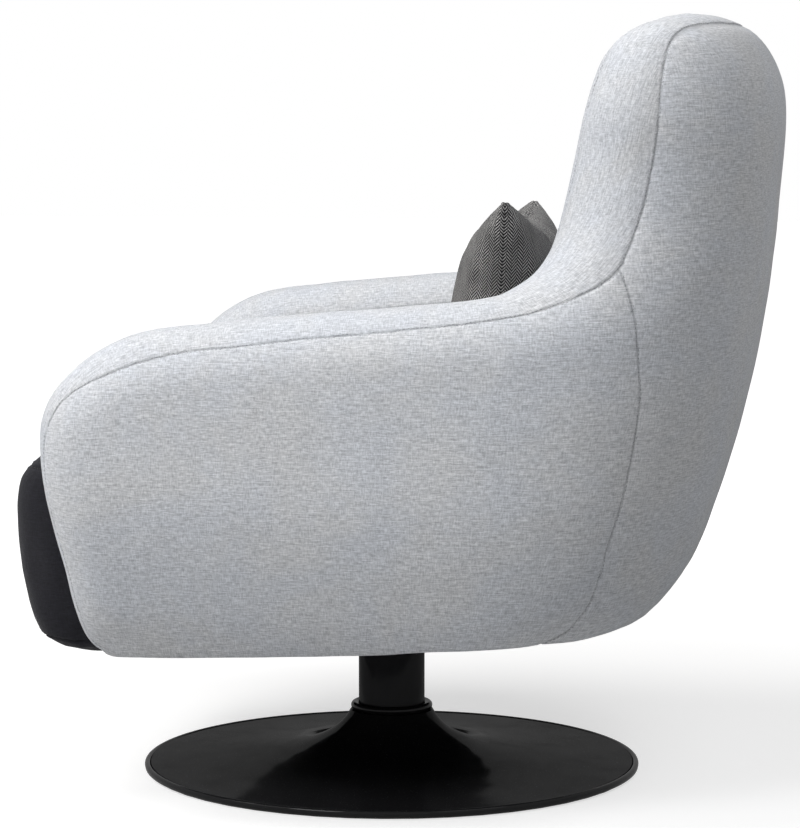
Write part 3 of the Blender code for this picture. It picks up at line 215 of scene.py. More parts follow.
def underside(run):
    """The tub's lower edge, which rises towards the back."""
    return TUB_UNDER + UNDER_RISE * smooth(UNDER_SHARES, np.abs(run) / WHOLE_RUN)


def skins(run, height):
    """The outer and inner skin's plan points, before the wall's edge is rounded."""
    outer, inner = wall_corner(height, np.interp(np.minimum(np.abs(run), CORNER_RUN), RUNS, TURNS))
    ahead = np.maximum(np.abs(run) - CORNER_RUN, 0)
    forward = np.stack([np.zeros_like(ahead), -ahead], -1)
    mirror = np.stack([np.where(run < 0, -1, 1), np.ones_like(ahead)], -1)
    return (outer + forward) * mirror, (inner + forward) * mirror


def wall_places(shares, start, length):
    """Places on the wall from a table of shares of a run and of the tub's height."""
    along, up = np.array(shares).T
    return np.stack([start + along * length, TUB_UNDER + up * TUB_HEIGHT], -1)


def upper_edge():
    """The tub's crest as (run, height) points, from an arm's front foot to the back's middle."""
    half = np.vstack([
        wall_places(ARM_EDGE_SHARES, CORNER_RUN, ARM_LENGTH),
        wall_places(CORNER_EDGE_SHARES, 0, CORNER_RUN)])
    points = np.vstack([half, half[-2::-1] * np.array([-1, 1])])
    steps = np.linalg.norm(np.diff(points, axis=0), axis=1)
    marks = np.concatenate([[0], np.cumsum(steps ** 0.5)])
    return curve_through(marks, points, np.linspace(0, marks[len(half) - 1], EDGE_SAMPLES))


EDGE = upper_edge()
EDGE_MARKS = lengths_along(EDGE)
CREST_LENGTH = EDGE_MARKS[-1]


def edge_offset(run, height):
    """How far a place on the wall is from the crest, and the way from the crest to it."""
    places = np.stack([np.abs(run).ravel(), height.ravel()], -1)
    starts, segments = EDGE[:-1], EDGE[1:] - EDGE[:-1]
    lengths = (segments ** 2).sum(1)
    found = np.empty_like(places)
    for first in range(0, len(places), OFFSET_BATCH):
        some = places[first:first + OFFSET_BATCH, None] - starts[None]
        part = np.clip((some * segments).sum(-1) / lengths, 0, 1)
        off = some - segments * part[..., None]
        nearest = (off ** 2).sum(-1).argmin(1)
        found[first:first + OFFSET_BATCH] = off[np.arange(len(off)), nearest]
    distance = np.linalg.norm(found, axis=1)
    way = found / np.maximum(distance, 1e-9)[:, None]
    return distance.reshape(np.shape(run)), way.reshape((*np.shape(run), 2))


def rolled(reach):
    """How full the wall's rounded edge is at a share of the rounding's reach."""
    return (1 - (1 - reach) ** ROLL_FULLNESS) ** (1 / ROLL_FULLNESS)


def unit_arc():
    """Shares of the rounding's reach, and how much longer the skin is than the reach that is left."""
    reach = np.linspace(0, 1, RUN_SAMPLES)
    arc_length = lengths_along(np.stack([rolled(reach) / ROLL_SHARE, reach], -1))
    return reach, (arc_length[-1] - arc_length) - (1 - reach)


ARC_REACH, ARC_EXCESS = unit_arc()


def wall_points(run, height, side, on_edge=False):
    """Points on the outer (side 1) or inner (side -1) skin, and the cloth's own flat place at each."""
    outer, inner = skins(run, height)
    middle = (outer + inner) / 2
    thickness = np.linalg.norm(outer - inner, axis=-1) / 2
    roll = ROLL_SHARE * np.minimum(thickness, ROLL_LIMIT)
    distance, way = edge_offset(run, height)
    reach = np.clip(distance / roll, 0, 1)
    full = np.where(on_edge, 0, rolled(reach))[..., None]
    plan = middle + (outer - middle) * full * side
    excess = np.interp(reach, ARC_REACH, ARC_EXCESS) * roll
    flat = np.stack([np.abs(run), height], -1) - way * excess[..., None]
    flat[..., 0] *= np.where(run < 0, -1, 1)
    return np.concatenate([plan, height[..., None]], -1), flat


def crest_at(marks):
    """The crest and its inward way at lengths along it."""
    course = np.gradient(EDGE, axis=0)
    course /= np.linalg.norm(course, axis=1)[:, None]
    course = points_at(EDGE_MARKS, course, marks)
    course /= np.linalg.norm(course, axis=1)[:, None]
    return points_at(EDGE_MARKS, EDGE, marks), np.stack([-course[:, 1], course[:, 0]], -1)


def seam_line(marks, drops, share=1.0):
    """Places on a seam, or at a share of the way to it, at lengths that run the whole crest."""
    place, inward = crest_at(marks)
    drop = smooth(drops, marks / CREST_LENGTH)[:, None]
    line = place + inward * drop * share
    level = underside(line[:, 0])
    line[:, 1] = level + held_off(line[:, 1] - level, SEAM_LIFT)
    line[0, 1] = underside(line[0, 0])
    line[-1, 0] = 0
    return line


def spaced(length, first=True, last=True):
    """Shares of a length: even steps that crowd at an end where there is a seam."""
    near = np.array([0, *NEAR_SEAM])
    low = near if first else near[:1]
    high = near if last else near[:1]
    count = max(2, round((length - low[-1] - high[-1]) / MESH_STEP))
    even = np.linspace(low[-1], length - high[-1], count + 1)
    return np.concatenate([low[:-1], even, length - high[:-1][::-1]]) / length


def side_seam(top, shares):
    """The seam between arm and back, as places from the underside to its meeting with the band."""
    points = np.vstack([wall_places(SIDE_SEAM_SHARES, 0, CORNER_RUN), top])
    points[0, 1] = underside(points[0, 0])
    marks = lengths_along(points)
    line = curve_through(marks, points, np.linspace(0, marks[-1], RUN_SAMPLES))
    marks = lengths_along(line)
    return points_at(marks, line, shares * marks[-1])


def patch(bottom, top, first, last):
    """Fills four sampled boundary curves with a net of places."""
    u = ((shares_along(bottom) + shares_along(top)) / 2)[:, None, None]
    v = ((shares_along(first) + shares_along(last)) / 2)[None, :, None]
    ruled = (1 - v) * bottom[:, None] + v * top[:, None] + (1 - u) * first[None] + u * last[None]
    low = (1 - u) * (1 - v) * bottom[0] + u * (1 - v) * bottom[-1]
    net = ruled - (low + (1 - u) * v * top[0] + u * v * top[-1])
    net[:, 0], net[:, -1], net[0], net[-1] = bottom, top, first, last
    return net


def crest_marks():
    """Lengths along the crest for the nets' columns, and the columns at its nose, joint and shoulder."""
    ends = [CREST_LENGTH * share for share in (0, NOSE_SHARE, JOINT_SHARE, SHOULDER_SHARE, 1)]
    runs = [
        first + spaced(last - first, *seams) * (last - first)
        for first, last, seams in zip(ends, ends[1:], CREST_SEAMS)]
    columns = np.cumsum([len(run) - 1 for run in runs])
    return np.concatenate([runs[0], *(run[1:] for run in runs[1:])]), columns[:3]


def foot_line(start, end, above):
    """Places along the underside from run to run, spaced as the line above them is."""
    foot = start + (end - start) * shares_along(above)
    return np.stack([foot, underside(foot)], -1)


def panel_nets(drops):
    """The nets of one arm's panel and of half the back's panel, for one side of the wall."""
    marks, (nose, joint, shoulder) = crest_marks()
    seam = seam_line(marks, drops)
    front, over_arm, over_back = seam[:nose + 1], seam[nose:joint + 1][::-1], seam[shoulder:][::-1]
    side = side_seam(seam[joint], shares_along(front))
    bottom = foot_line(side[0, 0], front[0, 0], over_arm)
    bottom[0], bottom[-1] = side[0], front[0]
    arm = patch(bottom, over_arm, side, front)
    bottom = foot_line(0, side[0, 0], over_back)
    bottom[-1] = side[0]
    edge = np.vstack([side, seam[joint + 1:shoulder + 1]])
    rise = bottom[0, 1] + (over_back[0, 1] - bottom[0, 1]) * shares_along(edge)
    middle = np.stack([np.zeros(len(edge)), rise], -1)
    return arm, patch(bottom, over_back, middle, edge)


def band_net(drops):
    """Places of the band in columns along the crest and rows from it to a seam."""
    marks, _ = crest_marks()
    return np.stack([seam_line(marks, drops, share) for share in BAND_SHARES], 1)


class Sheets:
    """Grids of points that are joined where they meet, with the cloth's flat place at each corner."""

    def __init__(self):
        self.points, self.flats, self.faces = [], [], []
        self.count = 0

    def add(self, points, flats):
        """Adds a grid of points."""
        rows, columns = points.shape[:2]
        index = self.count + np.arange(rows * columns).reshape(rows, columns)
        quads = np.stack([index[:-1, :-1], index[1:, :-1], index[1:, 1:], index[:-1, 1:]], -1)
        self.points.append(points.reshape(-1, 3))
        self.flats.append(flats.reshape(-1, 2))
        self.faces.append(quads.reshape(-1, 4))
        self.count += rows * columns

    def mesh(self, name):
        """One closed mesh of all the grids, faces out, with the flat places as its weave map."""
        points, flats, faces = (np.concatenate(part) for part in (self.points, self.flats, self.faces))
        steps = np.round(points * STEPS_A_METRE).astype(np.int64)
        _, first, back = np.unique(steps, axis=0, return_index=True, return_inverse=True)
        joined = back.ravel()[faces]
        kept = []
        for number, face in enumerate(joined):
            order = [k for k in range(4) if face[k] != face[k - 1]]
            if len(order) > 2 and len({face[k] for k in order}) == len(order):
                kept.append((number, order))
        mesh = bpy.data.meshes.new(name)
        rings = [[int(joined[n][k]) for k in order] for n, order in kept]
        mesh.from_pydata(points[first].tolist(), [], rings)
        flat = np.concatenate([flats[faces[n][order]] for n, order in kept])
        weave = mesh.uv_layers.new(name="weave")
        weave.uv.foreach_set("vector", flat.astype(np.float32).ravel())
        turn_out(mesh)
        return mesh


def turn_out(mesh):
    """Turns a closed mesh's faces outwards."""
    form = bmesh.new()
    form.from_mesh(mesh)
    bmesh.ops.recalc_face_normals(form, faces=form.faces)
    if form.calc_volume(signed=True) < 0:
        bmesh.ops.reverse_faces(form, faces=form.faces)
    form.to_mesh(mesh)
    form.free()


def new_mesh(name, points, faces):
    """A closed mesh, faces out."""
    mesh = bpy.data.meshes.new(name)
    mesh.from_pydata(points, [], faces)
    turn_out(mesh)
    return mesh


def coordinates(mesh, key="co"):
    """A mesh's points, or its point normals with the key "normal", as an array."""
    found = np.zeros(len(mesh.vertices) * 3, np.float32)
    mesh.vertices.foreach_get(key, found)
    return found.reshape(-1, 3).astype(float)


def mark_points(mesh, name, values, kind="FLOAT", field="value"):
    """Stores a value at each point for a material to read."""
    made = mesh.attributes.new(name, kind, "POINT")
    made.data.foreach_set(field, np.asarray(values, np.float32).ravel())


def set_coordinates(mesh, points):
    """Puts an array's points into a mesh."""
    mesh.vertices.foreach_set("co", np.asarray(points, np.float32).ravel())
    mesh.update()


def placed(name, data):
    """A new object in the scene."""
    made = bpy.data.objects.new(name, data)
    bpy.context.scene.collection.objects.link(made)
    return made


def finished(mesh, material):
    """Gives a mesh its one finish and smooth shading."""
    mesh.materials.clear()
    mesh.materials.append(material)
    mesh.shade_smooth()


def piece(name, mesh, material, body, slot, *nodes):
    """A piece of the object that rides on a body and stands for CAD nodes."""
    finished(mesh, material)
    made = placed(name, mesh)
    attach(made, body)
    if nodes:
        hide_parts(*nodes)
    return made


def point_tree(places):
    """A search tree over points."""
    tree = KDTree(len(places))
    for number, place in enumerate(places):
        tree.insert(place, number)
    tree.balance()
    return tree


def surface_of(mesh):
    """A search tree over a mesh's faces."""
    return BVHTree.FromPolygons([v.co for v in mesh.vertices], [p.vertices for p in mesh.polygons])


def resampled(line, step):
    """A polyline with even steps."""
    marks = lengths_along(line)
    return points_at(marks, line, np.linspace(0, marks[-1], max(2, int(marks[-1] / step))))


# Sewing: how far from a seam each of its effects lies, and how far it reaches
GROOVE_WIDTH = 0.0012
LIP_SHARE = 0.25
LIP_PLACE = 0.0032
LIP_WIDTH = 0.0018
GATHER_PLACE = 0.002
GATHER_WIDTH = 0.005
WAVER_DETAIL = 60
WAVER_TURN = 5
PLUMP_REACH = 0.014
SLACK_REACH = 0.03
SLACK_DETAIL = 2.3
SEAM_MARK_WIDTH = 0.0011


def bell(distance, place, width):
    """1 at one distance from a seam and less on both sides of it."""
    return np.exp(-((distance - place) / width) ** 2)


def tailored(mesh, lines, depth, pucker, plump=0.0, soft=0.0, soft_size=0.11, pitch=0.0075):
    """Draws the cloth in along its seams, puckers it beside them and lets it swell between them."""
    points, ways = coordinates(mesh), coordinates(mesh, "normal")
    tree = point_tree(np.concatenate(lines))
    along = np.concatenate([lengths_along(line) for line in lines])
    near = [tree.find(p) for p in points]
    distance = np.array([n[2] for n in near])
    mark = along[[n[1] for n in near]]
    groove = -depth * bell(distance, 0, GROOVE_WIDTH)
    lip = LIP_SHARE * depth * bell(distance, LIP_PLACE, LIP_WIDTH)
    waver = np.array([noise.noise(Vector(p) * WAVER_DETAIL) for p in points])
    beat = np.sin(2 * math.pi * mark / pitch + WAVER_TURN * waver)
    gather = pucker * beat * (0.5 + waver) * bell(distance, GATHER_PLACE, GATHER_WIDTH)
    swell = plump * (1 - np.exp(-distance / PLUMP_REACH)) - plump
    slack = np.array([
        noise.noise(Vector(p) / soft_size) + 0.5 * noise.noise(Vector(p) / soft_size * SLACK_DETAIL)
        for p in points])
    slack = soft * slack * np.clip(distance / SLACK_REACH, 0, 1)
    set_coordinates(mesh, points + ways * (groove + lip + gather + swell + slack)[:, None])
    # The seam mark is where materials darken a seam line; in the linen that darkening is partly painted
    # shade in the groove.
    mark_points(mesh, "seam", bell(distance, 0, SEAM_MARK_WIDTH))


# Materials

def group(name, inputs, outputs):
    """A new shader node group with named sockets, its helper, its inputs and its output node."""
    tree = bpy.data.node_groups.new(name, "ShaderNodeTree")
    for label, kind, value in inputs:
        socket = tree.interface.new_socket(name=label, in_out="INPUT", socket_type="NodeSocket" + kind)
        if value is not None:
            socket.default_value = value
    for label, kind in outputs:
        tree.interface.new_socket(name=label, in_out="OUTPUT", socket_type="NodeSocket" + kind)
    given, out = tree.nodes.new("NodeGroupInput"), tree.nodes.new("NodeGroupOutput")
    return tree, Nodes(tree), given.outputs, out


class Nodes:
    """Short calls that add and link shader nodes in one tree."""

    def __init__(self, tree):
        self.tree = tree

    def put(self, socket, value):
        """Links a socket to an input, or sets the input's value."""
        if isinstance(value, bpy.types.NodeSocket):
            self.tree.links.new(value, socket)
        elif value is not None:
            socket.default_value = value

    def fill(self, made, **values):
        """Links or sets a node's inputs by name, and gives its outputs."""
        for label, value in values.items():
            self.put(made.inputs[label.replace("_", " ")], value)
        return made.outputs

    def node(self, kind, *values, **settings):
        """A node with its settings, and its first inputs filled in order."""
        made = self.tree.nodes.new("ShaderNode" + kind)
        for key, value in settings.items():
            setattr(made, key, value)
        for socket, value in zip(made.inputs, values):
            self.put(socket, value)
        return made

    def math(self, operation, *values, clamp=False):
        """A number worked out from numbers."""
        return self.node("Math", *values, operation=operation, use_clamp=clamp).outputs[0]

    def add(self, *values, clamp=False):
        """The sum of two numbers."""
        return self.math("ADD", *values, clamp=clamp)

    def sub(self, *values):
        """The first number less the second."""
        return self.math("SUBTRACT", *values)

    def mul(self, *values, clamp=False):
        """The product of two numbers."""
        return self.math("MULTIPLY", *values, clamp=clamp)

    def times(self, vector, factors):
        """A vector multiplied part by part."""
        return self.node("VectorMath", vector, factors, operation="MULTIPLY").outputs[0]

    def parts(self, vector):
        """The three parts of a vector."""
        return self.node("SeparateXYZ", vector).outputs

    def place(self):
        """The place on the piece."""
        return self.node("TexCoord").outputs["Object"]

    def cloth(self):
        """The flat place of the cloth, from a mesh's weave map."""
        return self.node("Attribute", attribute_name="weave").outputs["Vector"]

    def mark(self, name):
        """A value that is stored at a mesh's points."""
        return self.node("Attribute", attribute_name=name).outputs["Fac"]

    def noise(self, place, scale, detail=2.0, rough=0.6, warp=0.0):
        """Smooth noise from 0 to 1."""
        return self.fill(
            self.node("TexNoise"), Vector=place, Scale=scale, Detail=detail, Roughness=rough,
            Distortion=warp)["Fac"]

    def drawn(self, place, scales, *shape):
        """Smooth noise with a scale of its own along each axis."""
        return self.noise(self.times(place, scales), 1.0, *shape)

    def blend(self, share, low, high, mode="MIX"):
        """A colour between two colours."""
        made = self.node("Mix", data_type="RGBA", blend_type=mode)
        for number, value in ((0, share), (6, low), (7, high)):
            self.put(made.inputs[number], value)
        return made.outputs[2]

    def between(self, share, dark, light):
        """A colour between two that are given without alpha."""
        return self.blend(share, tone(dark, 1), tone(light, 1))

    def span(self, value, low, high, to_low=0.0, to_high=1.0):
        """A number moved smoothly from one span to another."""
        made = self.node("MapRange", interpolation_type="SMOOTHSTEP")
        return self.fill(made, Value=value, From_Min=low, From_Max=high, To_Min=to_low, To_Max=to_high)[0]

    def bump(self, height, distance, strength):
        """A normal tilted by a height."""
        return self.fill(self.node("Bump"), Height=height, Distance=distance, Strength=strength)["Normal"]

    def use(self, tree, **values):
        """A node group in this tree, with its own values."""
        return self.fill(self.node("Group", node_tree=tree), **values)


def new_material(name, **fixed):
    """A material with its shader's fixed values set, its node helper, and the shader."""
    material = bpy.data.materials.new(name)
    material.use_nodes = True
    n, shader = Nodes(material.node_tree), material.node_tree.nodes["Principled BSDF"]
    n.fill(shader, **fixed)
    return material, n, shader


def weave_group():
    """Plain woven cloth: threads both ways, thick and thin slubs, and soft clouds of colour."""
    tree, n, given, out = group(
        "Woven cloth",
        [("Place", "Vector", None), ("Threads", "Float", 900.0), ("Slub", "Float", 0.5),
         ("Fuzz", "Float", 0.3)],
        [("Shade", "Float"), ("Cloud", "Float"), ("Height", "Float")])
    place, threads = given["Place"], given["Threads"]
    parts = n.parts(place)
    waves = [n.math("SINE", n.mul(n.mul(parts[axis], threads), math.pi)) for axis in (0, 1)]
    grid = n.mul(*waves)
    weft = n.drawn(place, (130.0, 800.0, 1.0))
    warp = n.drawn(place, (800.0, 150.0, 1.0))
    weft_long = n.drawn(place, (40.0, 420.0, 1.0))
    fine = n.drawn(place, (900.0, 900.0, 1.0))
    slubs = n.add(n.mul(weft, 1.1), n.mul(warp, 0.9))
    slubs = n.add(slubs, n.mul(weft_long, 0.5))
    slubs = n.sub(slubs, 1.25)
    shade = n.mul(slubs, n.mul(given["Slub"], 4.0))
    shade = n.add(shade, n.mul(n.sub(fine, 0.5), given["Fuzz"]))
    shade = n.add(shade, n.mul(grid, 0.06))
    cloud = n.drawn(place, (9.0, 9.0, 1.0), 4.0, 0.62, 0.4)
    height = n.add(n.mul(n.math("ABSOLUTE", grid), 0.45), n.mul(slubs, 0.9))
    n.fill(
        out, Shade=n.add(shade, 0.5, clamp=True), Cloud=n.span(cloud, 0.32, 0.68),
        Height=n.add(height, n.mul(fine, 0.35)))
    return tree


def wear_group():
    """Dust that settles on upward faces, and fine marks of handling."""
    tree, n, given, out = group(
        "Wear",
        [("Size", "Float", 30.0), ("Amount", "Float", 0.5)],
        [("Dust", "Float"), ("Marks", "Float"), ("Height", "Float")])
    place = n.place()
    lift = n.parts(n.node("NewGeometry").outputs["Normal"])[2]
    specks = n.noise(place, n.mul(given["Size"], 26.0))
    clouds = n.noise(place, given["Size"], 4.0, 0.6, 0.5)
    dust = n.mul(n.span(specks, 0.63, 0.75), n.span(lift, 0.2, 0.95))
    lines = n.noise(n.times(place, (3.0, 60.0, 8.0)), n.mul(given["Size"], 0.4), 3.0, 0.65, 1.5)
    marks = n.add(n.mul(clouds, 0.7), n.mul(n.span(lines, 0.62, 0.70), 0.3))
    n.fill(
        out, Dust=n.mul(dust, given["Amount"], clamp=True), Marks=marks,
        Height=n.add(clouds, n.mul(specks, 0.2)))
    return tree


def grain_group():
    """Timber grain along one axis."""
    tree, n, given, out = group(
        "Timber grain",
        [("Place", "Vector", None), ("Rings", "Float", 60.0)],
        [("Shade", "Float"), ("Pores", "Float"), ("Height", "Float")])
    place = given["Place"]
    bend = n.drawn(place, (2.0, 9.0, 9.0), 3.0, 0.5)
    parts = n.parts(place)
    ring = n.add(n.mul(parts[2], given["Rings"]), n.mul(bend, 5.0))
    ring = n.add(ring, n.mul(parts[1], 25.0))
    bands = n.add(n.mul(n.math("SINE", n.mul(ring, 2.0)), 0.5), 0.5)
    streak = n.drawn(place, (12.0, 420.0, 420.0), 3.0)
    pores = n.span(n.drawn(place, (60.0, 1500.0, 1500.0), 1.0, 0.5), 0.62, 0.72)
    shade = n.add(n.mul(bands, 0.55), n.mul(streak, 0.45), clamp=True)
    n.fill(out, Shade=shade, Pores=pores, Height=n.sub(streak, pores))
    return tree


def fibre_group():
    """Matted fibres."""
    tree, n, given, out = group(
        "Matted fibre", [("Size", "Float", 900.0)], [("Shade", "Float"), ("Height", "Float")])
    place = n.place()
    long = n.noise(n.times(place, (1.0, 0.25, 0.6)), given["Size"], 2.0, 0.6, 1.2)
    cross = n.noise(n.times(place, (0.25, 1.0, 0.6)), given["Size"], 2.0, 0.6, 1.2)
    clouds = n.noise(place, n.mul(given["Size"], 0.03), 3.0, 0.6)
    shade = n.add(n.mul(n.add(long, cross), 0.4), n.mul(clouds, 0.2), clamp=True)
    n.fill(out, Shade=shade, Height=n.math("MAXIMUM", long, cross))
    return tree


def shared(name, make):
    """A node group that is made once."""
    return bpy.data.node_groups.get(name) or make()


def tone(colour, factor):
    """A colour made lighter or darker, with its alpha."""
    return (*[min(1.0, c * factor) for c in colour], 1)


def linen(looks):
    """Light grey linen with paler and darker threads, a blue cast in places, and seam lines darkened:
    partly darker thread, partly painted shade in the seams' grooves.
    """
    material, n, shader = new_material(
        "light_linen_cloth", Roughness=0.93, Sheen_Weight=0.12, Sheen_Roughness=0.5)
    weave = n.use(
        shared("Woven cloth", weave_group), Place=n.cloth(), Threads=820.0, Slub=0.42, Fuzz=0.34)
    colour = n.between(weave["Shade"], looks.linen_dark, looks.linen_light)
    cool = n.blend(weave["Cloud"], (1.0, 0.997, 0.992, 1), (0.965, 0.985, 1.02, 1))
    colour = n.blend(1.0, colour, cool, "MULTIPLY")
    # The seam line is darkened: partly the thread's own darker colour, partly painted shade in the seam's
    # groove.
    dashes = n.drawn(n.cloth(), (420.0, 420.0, 1.0), 1.0, 0.5)
    seam = n.mul(n.mark("seam"), n.span(dashes, 0.3, 0.6, 0.55, 0.95))
    colour = n.blend(n.mul(seam, 0.6), colour, tone(looks.linen_dark, 0.55))
    n.fill(shader, Base_Color=colour, Normal=n.bump(weave["Height"], 0.0004, 0.5))
    return material


def charcoal(looks):
    """Dark charcoal cloth with a fine weave."""
    material, n, shader = new_material(
        "charcoal_seat_cloth", Roughness=0.9, Sheen_Weight=0.05, Sheen_Roughness=0.45,
        Specular_IOR_Level=0.2)
    weave = n.use(
        shared("Woven cloth", weave_group), Place=n.cloth(), Threads=760.0, Slub=0.34, Fuzz=0.5)
    colour = n.blend(weave["Shade"], tone(looks.cloth_colour, 0.55), tone(looks.cloth_colour, 1.75))
    lint = n.span(n.noise(n.place(), 420.0), 0.70, 0.78, 0.0, 0.35)
    colour = n.blend(lint, colour, tone(looks.cloth_colour, 5.0))
    colour = n.blend(n.mul(n.mark("seam"), 0.8), colour, tone(looks.cloth_colour, 0.25))
    n.fill(shader, Base_Color=colour, Normal=n.bump(weave["Height"], 0.0005, 0.7))
    return material


def herringbone(looks):
    """Black and grey wool woven in slanting stripes that turn back at each narrow column."""
    material, n, shader = new_material(
        "herringbone_cloth", Roughness=0.92, Sheen_Weight=0.06, Sheen_Roughness=0.5,
        Specular_IOR_Level=0.2)
    place = n.cloth()
    parts = n.parts(place)
    waver = n.mul(n.sub(n.noise(place, 60.0, 2.0, 0.5), 0.5), 0.0016)
    across = n.math("DIVIDE", n.add(parts[0], waver), looks.column_width)
    column = n.math("FLOOR", across)
    part = n.math("FRACT", across)
    odd = n.math("MODULO", n.math("ABSOLUTE", column), 2.0)
    way = n.sub(n.mul(odd, 2.0), 1.0)
    slant = n.mul(n.mul(part, way), looks.column_width * looks.slant)
    up = n.add(n.add(parts[1], slant), waver)
    phase = n.add(n.math("DIVIDE", up, looks.stripe_pitch), n.mul(odd, 0.5))
    wave = n.math("SINE", n.mul(phase, 2 * math.pi))
    fuzz = n.mul(n.sub(n.drawn(place, (1400.0, 1400.0, 1.0), 2.0, 0.7), 0.5), 1.5)
    stripe = n.span(n.add(wave, fuzz), -0.10, 0.75)
    break_line = n.math("ABSOLUTE", n.sub(part, 0.5))
    stripe = n.mul(stripe, n.span(break_line, 0.42, 0.5, 1.0, 0.45))
    cloud = n.drawn(place, (22.0, 22.0, 1.0), 4.0, 0.62)
    stripe = n.mul(stripe, n.span(cloud, 0.25, 0.75, 0.55, 1.0))
    colour = n.between(stripe, looks.dark_wool, looks.light_wool)
    colour = n.blend(n.mul(n.mark("seam"), 0.6), colour, tone(looks.dark_wool, 1))
    n.fill(shader, Base_Color=colour, Normal=n.bump(n.add(wave, fuzz), 0.00025, 0.8))
    return material


def thread(name, colour):
    """Twisted sewing thread."""
    material, n, shader = new_material(name, Roughness=0.7, Sheen_Weight=0.1)
    twist = n.noise(n.times(n.place(), (1.0, 1.0, 1.6)), 2600.0)
    n.fill(
        shader, Base_Color=n.blend(twist, tone(colour, 0.6), tone(colour, 1.3)),
        Normal=n.bump(twist, 0.0002, 0.6))
    return material


def black_gloss(looks, name="black_gloss_paint", shade=1.0):
    """Black paint with a soft gloss, a little orange peel, dust and faint rubbing; a shade above 1 gives a
    paler copy of it, which is painted light.
    """
    material, n, shader = new_material(name, Specular_IOR_Level=0.0, Coat_Roughness=looks.paint_roughness)
    wear = n.use(shared("Wear", wear_group), Size=22.0, Amount=0.35)
    # A shade above 1 paints light into the paint's colour: a paler, lit copy of the same paint.
    colour = n.blend(wear["Dust"], tone(looks.paint_colour, shade), (0.16, 0.16, 0.165, 1))
    worn = n.span(wear["Marks"], 0.2, 0.8, 1.3, 0.7)
    gloss = n.math("MULTIPLY_ADD", n.mark("shine"), looks.edge_gloss, looks.gloss)
    peel = n.noise(n.place(), 260.0, 2.0, 0.5)
    n.fill(
        shader, Base_Color=colour, Coat_Weight=n.mul(worn, gloss),
        Roughness=n.span(wear["Marks"], 0.2, 0.8, 0.3, 0.5), Normal=n.bump(peel, 0.00008, 0.5))
    return material


def metal(name, dark, light, roughness, brushed, metallic=1.0):
    """Bare or plated metal with drawn marks, stains and dust."""
    material, n, shader = new_material(name, Metallic=metallic)
    wear = n.use(shared("Wear", wear_group), Size=60.0, Amount=0.3)
    drawn = n.drawn(n.place(), brushed, 3.0)
    stain = n.add(n.mul(drawn, 0.6), n.mul(wear["Marks"], 0.5), clamp=True)
    colour = n.between(stain, dark, light)
    n.fill(
        shader, Base_Color=n.blend(wear["Dust"], colour, tone(dark, 0.6)),
        Roughness=n.span(wear["Marks"], 0.2, 0.8, roughness * 0.75, roughness * 1.3),
        Normal=n.bump(n.add(drawn, wear["Height"]), 0.0001, 0.5))
    return material


GRAIN_ORDERS = {"x": (0, 1, 2), "y": (1, 0, 2), "z": (2, 1, 0)}


def timber(name, dark, light, rings, axis):
    """Planed timber. The grain runs along an axis."""
    material, n, shader = new_material(name, Roughness=0.62)
    parts = n.parts(n.place())
    place = n.node("CombineXYZ", *[parts[k] for k in GRAIN_ORDERS[axis]]).outputs[0]
    grain = n.use(shared("Timber grain", grain_group), Place=place, Rings=rings)
    colour = n.between(grain["Shade"], dark, light)
    n.fill(
        shader, Base_Color=n.blend(n.mul(grain["Pores"], 0.6), colour, tone(dark, 0.45)),
        Normal=n.bump(grain["Height"], 0.0003, 0.5))
    return material


def matted(name, dark, light, size, roughness=0.95):
    """Felt, foam or dust cloth."""
    material, n, shader = new_material(name, Roughness=roughness, Sheen_Weight=0.15)
    fibre = n.use(shared("Matted fibre", fibre_group), Size=size)
    n.fill(
        shader, Base_Color=n.between(n.span(fibre["Shade"], 0.3, 0.7), dark, light),
        Normal=n.bump(fibre["Height"], 0.0005, 0.7))
    return material


def moulded(name, dark, light):
    """Moulded plastic with a faint flow and rubbing."""
    material, n, shader = new_material(name, Subsurface_Weight=0.05)
    wear = n.use(shared("Wear", wear_group), Size=50.0, Amount=0.25)
    colour = n.between(wear["Marks"], dark, light)
    n.fill(
        shader, Base_Color=n.blend(wear["Dust"], colour, tone(dark, 0.6)),
        Roughness=n.span(wear["Marks"], 0.2, 0.8, 0.35, 0.55),
        Normal=n.bump(wear["Height"], 0.0001, 0.4))
    return material


# Sizes and colours that a user may change

class TubLooks(PropertyGroup):
    """The linen tub."""
    linen_light: FloatVectorProperty(
        name="Pale thread", description="Linen's lighter threads",
        subtype="COLOR", default=(0.74, 0.75, 0.77))
    linen_dark: FloatVectorProperty(
        name="Dark thread", description="Linen's darker threads",
        subtype="COLOR", default=(0.36, 0.372, 0.396))
    seam_depth: FloatProperty(
        name="Seam depth", description="How deep the seams are drawn in", unit="LENGTH", default=0.0009)
    pucker: FloatProperty(
        name="Pucker", description="Height of the gathers beside a seam", unit="LENGTH", default=0.0005)
    plump: FloatProperty(
        name="Plump", description="How far the cloth swells between the seams",
        unit="LENGTH", default=0.0022)
    slack: FloatProperty(
        name="Slack", description="Height of the soft unevenness of the stuffing",
        unit="LENGTH", default=0.0014)


class SeatLooks(PropertyGroup):
    """The charcoal seat."""
    cloth_colour: FloatVectorProperty(
        name="Cloth", description="Seat cloth's middle colour",
        subtype="COLOR", default=(0.0105, 0.0104, 0.0138))
    swell: FloatProperty(
        name="Swell", description="Most that the stuffing may move the cloth",
        unit="LENGTH", default=0.006)
    seam_depth: FloatProperty(
        name="Seam depth", description="How deep the seams are drawn in", unit="LENGTH", default=0.0022)


